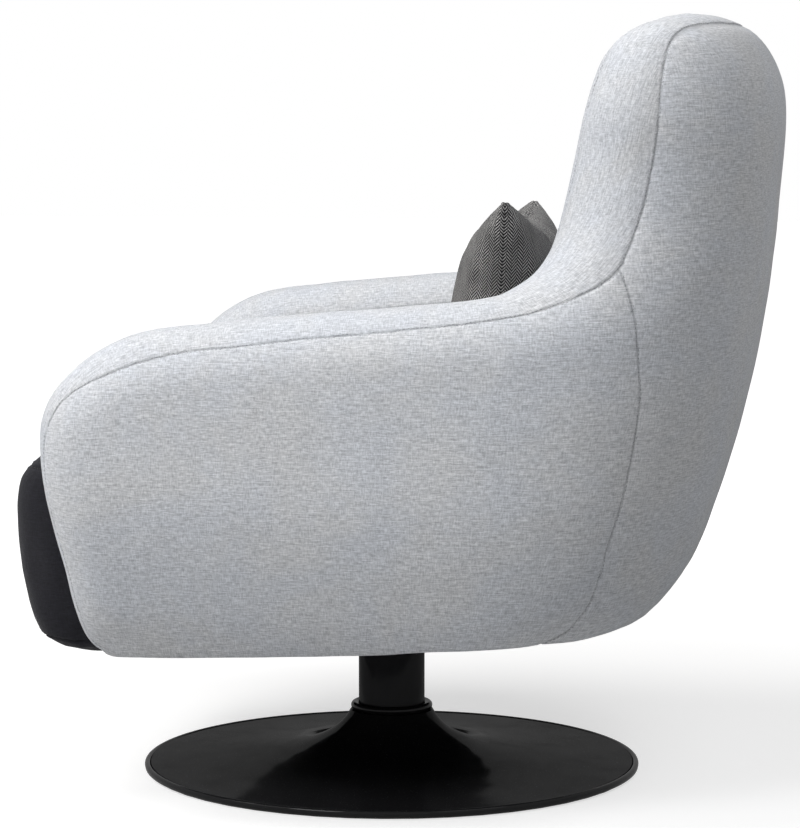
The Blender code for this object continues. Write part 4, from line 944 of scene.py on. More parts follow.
class PillowLooks(PropertyGroup):
    """The herringbone pillow."""
    dark_wool: FloatVectorProperty(
        name="Dark wool", description="Herringbone's dark stripe",
        subtype="COLOR", default=(0.011, 0.011, 0.012))
    light_wool: FloatVectorProperty(
        name="Light wool", description="Herringbone's light stripe",
        subtype="COLOR", default=(0.52, 0.51, 0.50))
    column_width: FloatProperty(
        name="Column", description="Width of one column of stripes", unit="LENGTH", default=0.0070)
    stripe_pitch: FloatProperty(
        name="Stripe pitch", description="Height from one stripe to the next",
        unit="LENGTH", default=0.0040)
    slant: FloatProperty(
        name="Slant", description="Rise of a stripe over its run", default=1.1)
    swell: FloatProperty(
        name="Swell", description="Most that the filling may move the cloth",
        unit="LENGTH", default=0.004)


class BaseLooks(PropertyGroup):
    """The base and the column."""
    paint_colour: FloatVectorProperty(
        name="Paint", description="Colour of the gloss paint",
        subtype="COLOR", default=(0.012, 0.012, 0.013))
    paint_roughness: FloatProperty(
        name="Roughness", description="Roughness of the gloss paint", subtype="FACTOR", default=0.07)
    gloss: FloatProperty(
        name="Gloss", description="Strength of the paint's reflections", subtype="FACTOR", default=0.075)
    edge_gloss: FloatProperty(
        name="Edge gloss", description="Further reflections where the rim and the bead are rubbed bright",
        subtype="FACTOR", default=0.12)
    # The column's paint colour is multiplied by this factor: painted light, a paler lit copy of the base's
    # black paint.
    painted_light_on_column: FloatProperty(
        name="Column shade", description="How much paler the column is than the base", default=2.4)


class StageLooks(PropertyGroup):
    """The floor, the lamps and the camera."""
    floor_colour: FloatVectorProperty(
        name="Floor", description="Colour of the floor", subtype="COLOR", default=(0.5, 0.5, 0.5))
    floor_glow: FloatProperty(
        name="Floor glow", description="How much of the floor's white is its own near the chair",
        default=0.62)
    sky: FloatProperty(
        name="Sky", description="Light from all round", default=0.08)
    zenith: FloatProperty(
        name="Zenith", description="Further light from above", default=0.0)
    key: FloatProperty(
        name="Key", description="Power of the large lamp, in watts", default=77.0)
    fill: FloatProperty(
        name="Fill", description="Power of the lamp at the camera's side, in watts", default=70.0)
    rear: FloatProperty(
        name="Rear", description="Power of the lamp behind the chair, in watts", default=44.0)
    lens: FloatProperty(
        name="Lens", description="Focal length of the camera, in millimetres", default=144.0)


# Tub

SIDES = (1, -1)
SEAM_DROPS = {1: OUTER_SEAM_DROPS, -1: INNER_SEAM_DROPS}
BAND_CLOTH_START = 2.0
SEAM_POINT_STEP = 0.0015
LOOSE_SEAM_STEP = 0.002
STITCH_SIDES = 6
STITCH_SECTIONS = ((0, 0.45, -0.6), (0.5, 1.0, 0.35), (1, 0.45, -0.6))
LINEN_NODES = ("upholstered_arm_left", "upholstered_arm_right", "upholstered_back")


def under_strip(sheets, outer_bottom, inner_bottom, rows):
    """Closes the tub's underside between the skins, a little hollow in the middle."""
    shares = np.linspace(0, 1, rows)[None, :, None]
    net = outer_bottom[:, None] * (1 - shares) + inner_bottom[:, None] * shares
    edge = np.minimum(shares, 1 - shares)[..., 0]
    net[..., 2] += UNDER_HEM * np.clip(edge * UNDER_HEM_SLOPE, 0, 1)
    width = np.linalg.norm(outer_bottom - inner_bottom, axis=1)[:, None] * shares[..., 0]
    flat = np.stack([np.repeat(lengths_along(outer_bottom)[:, None], rows, 1), width], -1)
    sheets.add(net, flat)
    return net


def nose_cap(sheets, end, nose):
    """Closes an arm's front foot between the underside's end and the band's end."""
    shares = np.linspace(0, 1, NOSE_ROWS)[:, None, None]
    cap = end[None] * (1 - shares) + nose[None] * shares
    cap[0], cap[-1] = end, nose
    rise = np.repeat(shares[:, :, 0] * NOSE_CLOTH[0], len(end), 1)
    run = np.repeat(np.linspace(0, NOSE_CLOTH[1], len(end))[None], NOSE_ROWS, 0)
    sheets.add(cap, np.stack([rise, run], -1))


def build_tub(name):
    """The whole tub as one closed skin: both sides' panels, the band over the crest and the underside."""
    sheets = Sheets()
    nets = {side: panel_nets(drops) for side, drops in SEAM_DROPS.items()}
    bands = {side: band_net(drops) for side, drops in SEAM_DROPS.items()}
    lines = []
    for mirror in SIDES:
        flip = np.array([mirror, 1])
        bottoms, columns = {}, {}
        for side, panels in nets.items():
            arm, back = (wall_points(*np.moveaxis(net * flip, -1, 0), side) for net in panels)
            sheets.add(*arm)
            sheets.add(*back)
            bottoms[side] = (arm[0][:, 0], back[0][:, 0])
            lines.append(arm[0][0])
        for side, band in bands.items():
            band = band * flip
            on_edge = np.zeros(band.shape[:2], bool)
            on_edge[:, 0] = True
            points, _ = wall_points(band[..., 0], band[..., 1], side, on_edge)
            steps = np.cumsum(np.linalg.norm(np.diff(points, axis=1), axis=-1), 1)
            across = np.concatenate([np.zeros((len(points), 1)), steps], 1)
            along = np.repeat(lengths_along(points[:, 0])[:, None], points.shape[1], 1)
            sheets.add(points, np.stack([along, across * side + BAND_CLOTH_START], -1))
            columns[side] = points[0]
            lines.append(points[:, -1])
        rows = 2 * len(BAND_SHARES) - 1
        strips = [under_strip(sheets, *ends, rows) for ends in zip(bottoms[1], bottoms[-1])]
        nose_cap(sheets, strips[0][-1], np.vstack([columns[1][::-1], columns[-1][1:]]))
    return sheets.mesh(name), [resampled(line, SEAM_POINT_STEP) for line in lines]


def ring_faces(start, rings, count):
    """The faces between rings of points that follow each other."""
    faces = []
    for row in range(start, start + (rings - 1) * count, count):
        for step in range(count):
            a, b = row + step, row + (step + 1) % count
            faces.append((a, b, b + count, a + count))
    return faces


def stitches(name, lines, mesh, pitch, length, radius):
    """Short lengths of thread laid end to end along seams, each one a small rod with tapered ends."""
    surface = surface_of(mesh)
    points, faces = [], []
    for line in lines:
        marks = lengths_along(line)
        for number in range(int(marks[-1] / pitch)):
            start = (number + 0.5) * pitch - length / 2
            wanted = [start + length * part for part, _, _ in STITCH_SECTIONS]
            found = [surface.find_nearest(Vector(spot)) for spot in points_at(marks, line, wanted)]
            spots = np.array([spot for spot, *_ in found])
            course = spots[2] - spots[0]
            size = np.linalg.norm(course)
            if size < length / 3:
                continue
            course = course / size
            across = np.cross(course, np.array(found[1][1]))
            across /= max(np.linalg.norm(across), 1e-9)
            up = np.cross(across, course)
            base = len(points)
            for spot, (_, thick, lift) in zip(spots, STITCH_SECTIONS):
                for angle in np.arange(STITCH_SIDES) * 2 * math.pi / STITCH_SIDES:
                    ring = across * math.cos(angle) + up * math.sin(angle)
                    points.append(spot + ring * radius * thick + up * radius * lift)
            faces += ring_faces(base, len(STITCH_SECTIONS), STITCH_SIDES)
            faces.append(tuple(range(base + STITCH_SIDES - 1, base - 1, -1)))
            faces.append(tuple(range(len(points) - STITCH_SIDES, len(points))))
    return new_mesh(name, [tuple(p) for p in points], faces)


class ARMCHAIR_OT_tub(Operator):
    """Makes the linen tub with its seams and stitches"""
    bl_idname = "armchair.tub"
    bl_label = "Tub"

    def execute(self, context):
        looks = context.scene.armchair_tub
        mesh, lines = build_tub("tub_cover")
        tailored(mesh, lines, looks.seam_depth, looks.pucker, looks.plump, looks.slack)
        tub = piece("tub_cover", mesh, linen(looks), "seat", "light_linen", *LINEN_NODES)
        rods = stitches("tub_stitches", lines, mesh, pitch=0.0046, length=0.0031, radius=0.00028)
        piece("tub_stitches", rods, thread("grey_thread", (0.17, 0.175, 0.19)), "seat", "light_linen")
        return {"FINISHED"}


# Seat

CUSHION_FRONT = -0.388
CUSHION_UNDER = 0.1635
CUSHION_EDGE = 0.382
CUSHION_CROWN = 0.032
CUSHION_CORNER = 0.045
CUSHION_SIDE_CLEARANCE = 0.0025
CUSHION_SIDE_DRAW = 0.35
CUSHION_CENTRE = -0.085
CUSHION_HALF_WIDTH_SHARE = 0.665
CUSHION_BAY = 0.2925
CUSHION_REST = 0.3016
BAY_FRONT = -0.2453
CUSHION_LEVEL_SHARES = (
    (0.0, 1.0), (0.042, 0.68), (0.075, 0.50), (0.118, 0.41), (0.18, 0.29), (0.283, 0.20),
    (0.387, 0.124), (0.594, 0.035), (0.75, 0.0), (0.854, 0.047), (0.906, 0.127), (0.953, 0.32),
    (1.0, 0.56),
)
CUSHION_SEAM_LEVELS = (0.965, 0.05)
CUSHION_RING_SHARES = (
    *np.linspace(0, 0.12, 7), *np.linspace(0.16, 0.84, 15), *np.linspace(0.87, 1.0, 9))
CUSHION_TOP_SHARES = np.linspace(0.97, 0.06, 26)
CUSHION_HALF_SIZE = (0.27, 0.29, 0.10)
CROWN_SQUARENESS, CROWN_FULLNESS = 3, 0.8
REAR_POINTS, FLANK_POINTS, CORNER_POINTS, FRONT_POINTS = 48, 24, 14, 15
CUSHION_START_SHARE = 0.55
CUSHION_WALL_GAP = 0.0012
CUSHION_VOXEL = 0.006
FILLING_PRESSURE = 4.0
FILLING_STEPS = 20
LEVEL_NORMAL = 0.6


def cushion_outline(inset):
    """The seat's plan outline: straight front, sides along the arms and round rear corners."""
    reach = CUSHION_SIDE_DRAW * inset + CUSHION_SIDE_CLEARANCE
    turns = np.linspace(0, 1, REAR_POINTS)
    _, rear = wall_corner(np.full_like(turns, CUSHION_BAY), turns)
    centre = np.array([0, TUB_ARM_START])
    size = rear[0, 1] - TUB_ARM_START
    rear = centre + (rear - centre) * np.array([1 - reach / rear[-1, 0], 1 - reach / size])
    side, front, radius = rear[-1, 0], CUSHION_FRONT + inset, CUSHION_CORNER
    angles = np.linspace(0, math.pi / 2, CORNER_POINTS)
    nose = np.stack([side - radius + radius * np.cos(angles), front + radius - radius * np.sin(angles)], -1)
    deep = np.linspace(TUB_ARM_START, front + radius, FLANK_POINTS + 2)[1:-1]
    flank = np.stack([np.full(FLANK_POINTS, side), deep], -1)
    across = np.linspace(side - radius, 0, FRONT_POINTS + 1)[1:]
    half = np.vstack([rear, flank, nose, np.stack([across, np.full(FRONT_POINTS, front)], -1)])
    return np.vstack([half, half[-2:0:-1] * np.array([-1, 1])])


def cushion_level(x, y):
    """The height of the cushion's crowned top at a place."""
    wide = CUSHION_HALF_WIDTH_SHARE * TUB_HALF_WIDTH
    deep = CUSHION_CENTRE - CUSHION_FRONT
    shares = (min(abs(x) / wide, 1), min(abs(y - CUSHION_CENTRE) / deep, 1))
    swell = (1 - shares[0] ** CROWN_SQUARENESS) * (1 - shares[1] ** CROWN_SQUARENESS)
    return CUSHION_EDGE + CUSHION_CROWN * swell ** CROWN_FULLNESS


def cushion_ring(share):
    """The cushion's outline at a share of its edge height."""
    levels, drawn = np.array(CUSHION_LEVEL_SHARES).T
    ring = cushion_outline(float(np.interp(share, levels, drawn)) * CUSHION_CORNER)
    height = CUSHION_UNDER + share * (CUSHION_EDGE - CUSHION_UNDER)
    return np.hstack([ring, np.full((len(ring), 1), height)])


def closed_loft(name, rings, cap):
    """A closed mesh of rings, with a flat foot and a point over the last ring."""
    count = len(rings[0])
    points = [tuple(p) for ring in rings for p in ring]
    top, last = len(points), len(points) - count
    faces = [tuple(range(count)), *ring_faces(0, len(rings), count)]
    faces += [(last + step, last + (step + 1) % count, top) for step in range(count)]
    return new_mesh(name, [*points, cap], faces)


def cushion_form(name, drawn_in):
    """The seat's closed form with a crowned top, a little small so that it can swell."""
    rings = [cushion_ring(share) for share in CUSHION_RING_SHARES]
    rim = rings[-1]
    for share in CUSHION_TOP_SHARES:
        deep = CUSHION_CENTRE + (rim[:, 1] - CUSHION_CENTRE) * share
        ring = np.stack([rim[:, 0] * share, deep], -1)
        rings.append(np.hstack([ring, np.array([[cushion_level(x, y)] for x, y in ring])]))
    mesh = closed_loft(name, rings, (0, CUSHION_CENTRE, CUSHION_EDGE + CUSHION_CROWN))
    points = coordinates(mesh)
    middle = np.array([0, CUSHION_CENTRE, (CUSHION_UNDER + CUSHION_EDGE) / 2])
    points -= (points - middle) / np.array(CUSHION_HALF_SIZE) * drawn_in
    set_coordinates(mesh, points)
    return mesh


def applied(made):
    """Gives an object its mesh as its modifiers leave it."""
    graph = bpy.context.evaluated_depsgraph_get()
    mesh = bpy.data.meshes.new_from_object(made.evaluated_get(graph))
    made.modifiers.clear()
    made.data = mesh
    return mesh


def remeshed(name, mesh, voxel):
    """A new object with an even closed mesh of the same form."""
    made = placed(name, mesh)
    again = made.modifiers.new("even", "REMESH")
    again.mode = "VOXEL"
    again.voxel_size = voxel
    applied(made)
    return made


def stuffed(made, cap):
    """Lets a cushion's filling press its cloth out, held to a cap."""
    before = coordinates(made.data)
    scene = bpy.context.scene
    cloth = made.modifiers.new("filling", "CLOTH")
    cloth.settings.use_pressure = True
    cloth.settings.uniform_pressure_force = FILLING_PRESSURE
    cloth.settings.effector_weights.gravity = 0
    cloth.settings.quality = 4
    cloth.point_cache.frame_start = 1
    cloth.point_cache.frame_end = FILLING_STEPS
    for step in range(1, FILLING_STEPS + 1):
        scene.frame_set(step)
    applied(made)
    scene.frame_set(1)
    shift = coordinates(made.data) - before
    size = np.linalg.norm(shift, axis=1)
    shift *= (cap * np.tanh(size / cap) / np.maximum(size, 1e-9))[:, None]
    set_coordinates(made.data, before + shift)


def subdivided(made):
    """Smooths a mesh by one subdivision."""
    finer = made.modifiers.new("finer", "SUBSURF")
    finer.levels = finer.render_levels = 1
    return applied(made)


def projected(line, mesh):
    """A line moved onto a mesh."""
    surface = surface_of(mesh)
    return np.array([surface.find_nearest(Vector(p))[0] for p in line])


def boxed_axes(normal):
    """The two axes of the plain direction that a normal is nearest to."""
    if abs(normal.z) > LEVEL_NORMAL:
        return [0, 1]
    return [0, 2] if abs(normal.y) > abs(normal.x) else [1, 2]


def boxed_map(mesh):
    """A weave map of cloth laid on the nearest of the three plain directions."""
    weave = mesh.uv_layers.new(name="weave")
    points = coordinates(mesh)
    flat = np.zeros((len(mesh.loops), 2), np.float32)
    for face in mesh.polygons:
        flat[list(face.loop_indices)] = points[list(face.vertices)][:, boxed_axes(face.normal)]
    weave.uv.foreach_set("vector", flat.ravel())


class ARMCHAIR_OT_seat(Operator):
    """Makes the charcoal seat and stuffs it"""
    bl_idname = "armchair.seat"
    bl_label = "Seat"

    def execute(self, context):
        looks = context.scene.armchair_seat
        form = cushion_form("seat_form", looks.swell * CUSHION_START_SHARE)
        made = remeshed("seat_cover", form, CUSHION_VOXEL)
        stuffed(made, looks.swell)
        mesh = subdivided(made)
        points = coordinates(mesh)
        hidden = points[:, 1] > BAY_FRONT
        points[:, 2] = np.where(hidden & (points[:, 2] < CUSHION_REST), CUSHION_REST, points[:, 2])
        share = (points[:, 2] - TUB_UNDER) / TUB_HEIGHT
        limit = TUB_HALF_WIDTH * smooth(INNER_WIDTH_SHARES, share) - CUSHION_WALL_GAP
        points[:, 0] = np.clip(points[:, 0], -limit, limit)
        set_coordinates(mesh, points)
        lines = []
        for level in CUSHION_SEAM_LEVELS:
            line = cushion_ring(level)
            line = np.vstack([line, line[:1]])
            lines.append(projected(resampled(line, LOOSE_SEAM_STEP), mesh))
        tailored(mesh, lines, looks.seam_depth, pucker=0.0006, soft=0.0012, soft_size=0.09, pitch=0.009)
        boxed_map(mesh)
        finished(mesh, charcoal(looks))
        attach(made, "seat")
        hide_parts("seat_cushion")
        rods = stitches("seat_stitches", lines[:1], mesh, pitch=0.005, length=0.0034, radius=0.0003)
        piece("seat_stitches", rods, thread("black_thread", (0.03, 0.03, 0.033)), "seat", "charcoal_cloth")
        return {"FINISHED"}


# Pillow

PILLOW_WIDTH = 0.430
PILLOW_HEIGHT = 0.288
PILLOW_DEPTH = 0.134
PILLOW_LEAN = math.radians(3.65)
PILLOW_TURN = math.radians(2.67)
PILLOW_ROLL = math.radians(-1.93)
PILLOW_PLACE = (0, 0.139, 0.512)
PILLOW_SIDE_DRAW = 0.10
PILLOW_TOP_DRAW = 0.16
PILLOW_FULLNESS = 0.385
PILLOW_EAR = 0.11
PILLOW_NEAR = 0.0025
PILLOW_START_SHARE = 0.5
PILLOW_VOXEL = 0.0034
PILLOW_GRID = (97, 73)
PILLOW_RIM = (60, 40)
PILLOW_STILL, PILLOW_FADE = 1.9, 0.5
PILLOW_SEAT_SOFTNESS, PILLOW_BACK_SOFTNESS = 0.005, 0.003
TURN_STEPS, LEVEL_STEPS = 90, 60
SEARCH_TURNS, SEARCH_ROUNDS = 121, 4
SEARCH_STEP, SEARCH_REACH = 1e-3, 0.02


def pillow_place(u, v):
    """A place on the pillow's front, from shares of its half width and half height."""
    swell = np.maximum((1 - u ** 2) * (1 - v ** 2), 0) ** PILLOW_FULLNESS
    return np.stack([
        u * PILLOW_WIDTH / 2 * (1 - PILLOW_SIDE_DRAW * (1 - v ** 2)),
        PILLOW_DEPTH / 2 * swell * (1 - (u * v) ** 2) ** PILLOW_EAR,
        v * PILLOW_HEIGHT / 2 * (1 - PILLOW_TOP_DRAW * (1 - u ** 2))], -1)


def pillow_form(name, shrink):
    """The pillow about its own centre."""
    shares = [np.sin(np.linspace(-math.pi / 2, math.pi / 2, count)) for count in PILLOW_GRID]
    points = pillow_place(*np.meshgrid(*shares, indexing="ij"))
    points *= 1 - shrink / np.array([PILLOW_WIDTH, PILLOW_DEPTH / 2, PILLOW_HEIGHT])
    sheets = Sheets()
    for face in SIDES:
        sheets.add(points * np.array([1, face, 1]), points[..., [0, 2]])
    return sheets.mesh(name)


def pillow_rim():
    """The seam round the pillow's edge."""
    across, up = (np.linspace(-1, 1, count) for count in PILLOW_RIM)
    ends, sides = np.ones_like(across), np.ones_like(up)
    return pillow_place(
        np.concatenate([across, sides, -across, -sides]), np.concatenate([-ends, up, ends, -up]))


def cloth_lengths(across, level, upright):
    """How long the cloth is from the pillow's middle line out to each place, kept even beside the seams."""
    angles, levels = np.linspace(0, math.pi / 2, TURN_STEPS + 1), np.linspace(0, 1, LEVEL_STEPS + 1)
    sines, grid = np.meshgrid(np.sin(angles), levels, indexing="ij")
    places = pillow_place(grid, sines) if upright else pillow_place(sines, grid)
    steps = np.linalg.norm(np.diff(places, axis=0), axis=-1)
    table = np.concatenate([np.zeros((1, len(levels))), np.cumsum(steps, 0)])
    row, column = across / (math.pi / 2) * TURN_STEPS, level * LEVEL_STEPS
    i = np.minimum(row.astype(int), TURN_STEPS - 1)
    j = np.minimum(column.astype(int), LEVEL_STEPS - 1)
    a, b = row - i, column - j
    low, high, whole = ((1 - b) * table[k, j] + b * table[k, j + 1] for k in (i, i + 1, -1))
    out = (1 - a) * low + a * high
    share = np.clip(out / whole, 0, 1)
    return out + (table[-1, 0] - whole) * share ** 2 * (3 - 2 * share)


def pillow_weave(points):
    """The cloth's flat place at each point of the pillow: its columns run along the side seams."""
    turns = np.linspace(0, math.pi / 2, SEARCH_TURNS)
    turns = np.stack(np.meshgrid(turns, turns, indexing="ij"), -1).reshape(-1, 2)
    tree = point_tree(pillow_place(*np.sin(turns).T))
    wanted = np.abs(points)
    found = turns[[tree.find(p)[1] for p in wanted]]
    for _ in range(SEARCH_ROUNDS):
        found = np.clip(found, 0, math.pi / 2 - 2 * SEARCH_STEP)
        here = pillow_place(*np.sin(found).T)
        gap = wanted - here
        ways = [
            (pillow_place(*np.sin(found + step).T) - here) / SEARCH_STEP
            for step in np.eye(2) * SEARCH_STEP]
        a, b, c = (ways[0] ** 2).sum(1), (ways[0] * ways[1]).sum(1), (ways[1] ** 2).sum(1)
        e, f = ((way * gap).sum(1) for way in ways)
        size = np.maximum(a * c - b * b, 1e-12)[:, None]
        change = np.stack([c * e - b * f, a * f - b * e], -1) / size
        found = found + np.clip(change, -SEARCH_REACH, SEARCH_REACH)
    found = np.clip(found, 0, math.pi / 2)
    u, v = np.sin(found).T
    run = cloth_lengths(found[:, 0], v, False)
    rise = cloth_lengths(found[:, 1], u, True)
    return np.stack([run * np.sign(points[:, 0]), rise * np.sign(points[:, 2]), 0 * run], -1)


def back_front(x, z):
    """How far back the tub's inner face lies at each place."""
    share = (z - TUB_UNDER) / TUB_HEIGHT
    half = TUB_HALF_WIDTH * smooth(INNER_WIDTH_SHARES, share)
    deep = TUB_REAR * smooth(INNER_REAR_SHARES, share) - TUB_ARM_START
    across = np.clip(np.abs(x) / half, 0, 1) ** INNER_SQUARENESS
    return TUB_ARM_START + deep * (1 - across) ** (1 / INNER_SQUARENESS)


class ARMCHAIR_OT_pillow(Operator):
    """Makes the herringbone pillow, fills it and sets it on the seat"""
    bl_idname = "armchair.pillow"
    bl_label = "Pillow"

    def execute(self, context):
        looks = context.scene.armchair_pillow
        form = pillow_form("pillow_form", looks.swell * PILLOW_START_SHARE)
        made = remeshed("pillow_cover", form, PILLOW_VOXEL)
        before = coordinates(made.data)
        stuffed(made, looks.swell)
        shift = coordinates(made.data) - before
        reach = np.abs(before) / np.array([PILLOW_WIDTH / 2, 1, PILLOW_HEIGHT / 2])
        fade = np.clip((PILLOW_STILL - reach[:, 0] - reach[:, 2]) / PILLOW_FADE, 0, 1)
        set_coordinates(made.data, before + shift * fade[:, None])
        mesh = subdivided(made)
        mark_points(mesh, "weave", pillow_weave(coordinates(mesh)), "FLOAT_VECTOR", "vector")
        line = projected(resampled(pillow_rim(), LOOSE_SEAM_STEP), mesh)
        tailored(mesh, [line], depth=0.0008, pucker=0.0008, soft=0.0018, soft_size=0.05, pitch=0.011)
        turn = Euler((-PILLOW_LEAN, PILLOW_ROLL, PILLOW_TURN)).to_matrix()
        points = coordinates(mesh) @ np.array(turn).T + np.array(PILLOW_PLACE)
        level = np.array([cushion_level(x, y) for x, y, _ in points]) + PILLOW_NEAR
        points[:, 2] = level + held_off(points[:, 2] - level, PILLOW_SEAT_SOFTNESS)
        behind = back_front(points[:, 0], points[:, 2]) - PILLOW_NEAR
        points[:, 1] = behind - held_off(behind - points[:, 1], PILLOW_BACK_SOFTNESS)
        set_coordinates(mesh, points)
        finished(mesh, herringbone(looks))
        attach(made, "pillow")
        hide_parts("lumbar_pillow")
        return {"FINISHED"}


# Base and column

BASE_RADIUS = 0.285
BASE_HEIGHT = 0.0665
BASE_WALL = 0.002
RIM_HEIGHT = 0.0095
PAD_THICKNESS = 0.002
GAP = 0.0003
COLUMN_RADIUS = 0.038
COLUMN_WALL = 0.003
COLUMN_TOP = 0.193
COLUMN_FOOT = 0.0086
COLLAR_RADIUS = 0.047
COLLAR_HEIGHT = 0.0090
COLLAR_LAND = 0.003
RIM_BEAD = 0.0034
EDGE_NICK = 0.0006
BROW_SHARE = 0.9
FLARE_SAMPLES = 70
DISH_SIDES, TUBE_SIDES = 192, 128
SHARP_ANGLE = math.radians(50)
TRUMPET_SHARES = (
    (0.166, 1.0), (0.187, 0.86), (0.219, 0.71), (0.267, 0.57), (0.333, 0.445), (0.421, 0.35),
    (0.544, 0.267), (0.702, 0.199), (0.877, 0.151), (0.975, 0.13),
)


def turned(name, profile, segments):
    """A closed profile of radius and height, turned about the upright axis."""
    angles = np.linspace(0, 2 * math.pi, segments, endpoint=False)
    rings = np.stack([
        profile[:, None, 0] * np.cos(angles), profile[:, None, 0] * np.sin(angles),
        np.repeat(profile[:, 1:], segments, 1)], -1)
    index = np.arange(len(profile) * segments).reshape(len(profile), segments)
    after, above = np.roll(index, -1, 1), np.roll(index, -1, 0)
    faces = np.stack([index, after, np.roll(above, -1, 1), above], -1)
    return new_mesh(name, rings.reshape(-1, 3).tolist(), faces.reshape(-1, 4).tolist())


def arc(centre, radius, first, last, steps):
    """Profile points round part of a circle, by angles in degrees."""
    angles = np.radians(np.linspace(first, last, steps))
    return np.array(centre) + radius * np.stack([np.cos(angles), np.sin(angles)], -1)


def dish_profile():
    """The dish: its flared skin, the rim's bead, the foot, and the inside a wall's thickness below."""
    foot, bore, brow = PAD_THICKNESS + GAP, COLUMN_RADIUS + GAP, BASE_HEIGHT * BROW_SHARE
    table = np.array(TRUMPET_SHARES) * np.array([BASE_RADIUS, BASE_HEIGHT])
    marks = lengths_along(table)
    skin = curve_through(marks, table, np.linspace(0, marks[-1], FLARE_SAMPLES))
    rim = arc((BASE_RADIUS - RIM_BEAD, RIM_HEIGHT - RIM_BEAD), RIM_BEAD, first=165, last=-10, steps=16)
    hem = [(BASE_RADIUS - EDGE_NICK, foot + EDGE_NICK), (BASE_RADIUS - 2 * EDGE_NICK, foot)]
    inside = BASE_RADIUS - 2 * BASE_WALL
    course = skin[2:] - skin[:-2]
    course /= np.linalg.norm(course, axis=1)[:, None]
    lining = skin[1:-1] + np.stack([course[:, 1], -course[:, 0]], -1) * BASE_WALL
    lining = np.vstack([(inside, foot), (inside, table[-1, 1] - 2 * BASE_WALL), lining[::-1]])
    lining = lining[(lining[:, 0] > bore) & (lining[:, 1] < brow)]
    return np.vstack([skin, rim, hem, lining, (bore, brow), (bore, BASE_HEIGHT)])


def collar_profile():
    """The bead round the column's foot."""
    bore, foot, half = COLUMN_RADIUS + GAP, BASE_HEIGHT + GAP, COLLAR_HEIGHT / 2
    bead = arc((COLLAR_RADIUS - half, foot + half), half, first=-80, last=80, steps=11)
    top = foot + COLLAR_HEIGHT
    return np.vstack([
        (bore, foot), (COLLAR_RADIUS - half, foot), bead,
        (bore + COLLAR_LAND, top - GAP), (bore, top - 2 * EDGE_NICK)])


def sleeve_profile():
    """The column's tube."""
    bore = COLUMN_RADIUS - COLUMN_WALL
    return np.array([
        (bore, COLUMN_FOOT), (COLUMN_RADIUS, COLUMN_FOOT), (COLUMN_RADIUS, COLUMN_TOP - EDGE_NICK),
        (COLUMN_RADIUS - EDGE_NICK, COLUMN_TOP), (bore, COLUMN_TOP)])


class ARMCHAIR_OT_base(Operator):
    """Makes the spun base, its collar and the column"""
    bl_idname = "armchair.base"
    bl_label = "Base"

    def execute(self, context):
        looks = context.scene.armchair_base
        paint = black_gloss(looks)
        # The column gets a paler copy of the base's paint: painted light.
        column_paint = black_gloss(looks, "column_paint", looks.painted_light_on_column)
        dish = turned("base_dish", dish_profile(), DISH_SIDES)
        collar = turned("collar_bead", collar_profile(), TUBE_SIDES)
        sleeve = turned("column_sleeve", sleeve_profile(), TUBE_SIDES)
        piece("base_dish", dish, paint, "base", "black_gloss", "base_shell")
        piece("collar_bead", collar, paint, "base", "black_gloss", "collar_ring")
        piece("column_sleeve", sleeve, column_paint, "base", "black_gloss", "column_tube")
        for mesh, matt_radius in ((dish, BASE_RADIUS - 2 * RIM_BEAD), (collar, 0), (sleeve, 1)):
            mesh.set_sharp_from_angle(angle=SHARP_ANGLE)
            mark_points(mesh, "shine", np.linalg.norm(coordinates(mesh)[:, :2], axis=1) > matt_radius)
        return {"FINISHED"}


# Frame and bearing

NODE_FINISHES = {
    "swivel_plate": "paint", "floor_pad": "pad", "ballast_plate": "cast", "column_plug": "cast",
    "lower_bush": "nylon", "upper_bush": "nylon", "retaining_clip": "spring", "dust_cover": "dust",
    "spring_felt": "felt", "front_rail": "stained", "rear_rail": "beech_x", "cross_rail_front": "beech_x",
    "cross_rail_rear": "beech_x", "back_top_rail": "beech_x", "back_mid_rail": "beech_x",
    "side_rail_left": "stained", "side_rail_right": "stained", "back_post_left": "beech_z",
    "back_post_right": "beech_z", "arm_board_left": "ply", "arm_board_right": "ply",
}


class ARMCHAIR_OT_frame(Operator):
    """Gives the frame, the springs and the bearing their finishes"""
    bl_idname = "armchair.frame"
    bl_label = "Frame and bearing"

    def execute(self, context):
        beech = ((0.40, 0.245, 0.125), (0.62, 0.43, 0.25))
        looks = {
            "paint": black_gloss(context.scene.armchair_base),
            "pad": matted("rubber_pad", (0.02, 0.02, 0.02), (0.06, 0.06, 0.06), 500.0, roughness=0.8),
            "cast": metal(
                "cast_iron", (0.05, 0.05, 0.052), (0.15, 0.15, 0.155), 0.55, (180.0, 180.0, 180.0),
                metallic=0.6),
            "zinc": metal("zinc_plate", (0.42, 0.43, 0.45), (0.70, 0.71, 0.72), 0.32, (90.0, 90.0, 900.0)),
            "spring": metal(
                "spring_wire", (0.16, 0.16, 0.17), (0.36, 0.36, 0.37), 0.38, (300.0, 300.0, 40.0)),
            "nylon": moulded("nylon_bush", (0.62, 0.60, 0.55), (0.78, 0.77, 0.72)),
            "dust": matted("dust_cloth", (0.012, 0.012, 0.013), (0.04, 0.04, 0.043), 1400.0),
            "felt": matted("grey_felt_sheet", (0.12, 0.115, 0.11), (0.27, 0.26, 0.25), 700.0),
            "beech_x": timber("beech_rail", *beech, 45.0, "x"),
            "stained": timber("stained_rail", (0.012, 0.010, 0.009), (0.028, 0.023, 0.020), 45.0, "y"),
            "beech_z": timber("beech_post", *beech, 45.0, "z"),
            "ply": timber("birch_board", (0.50, 0.36, 0.20), (0.72, 0.57, 0.38), 30.0, "y"),
        }
        for name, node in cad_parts.items():
            kind = NODE_FINISHES.get(name)
            if kind is None:
                kind = "spring" if name.startswith("seat_spring") else "zinc"
            node.data.materials.clear()
            node.data.materials.append(looks[kind])
        return {"FINISHED"}


# Stage

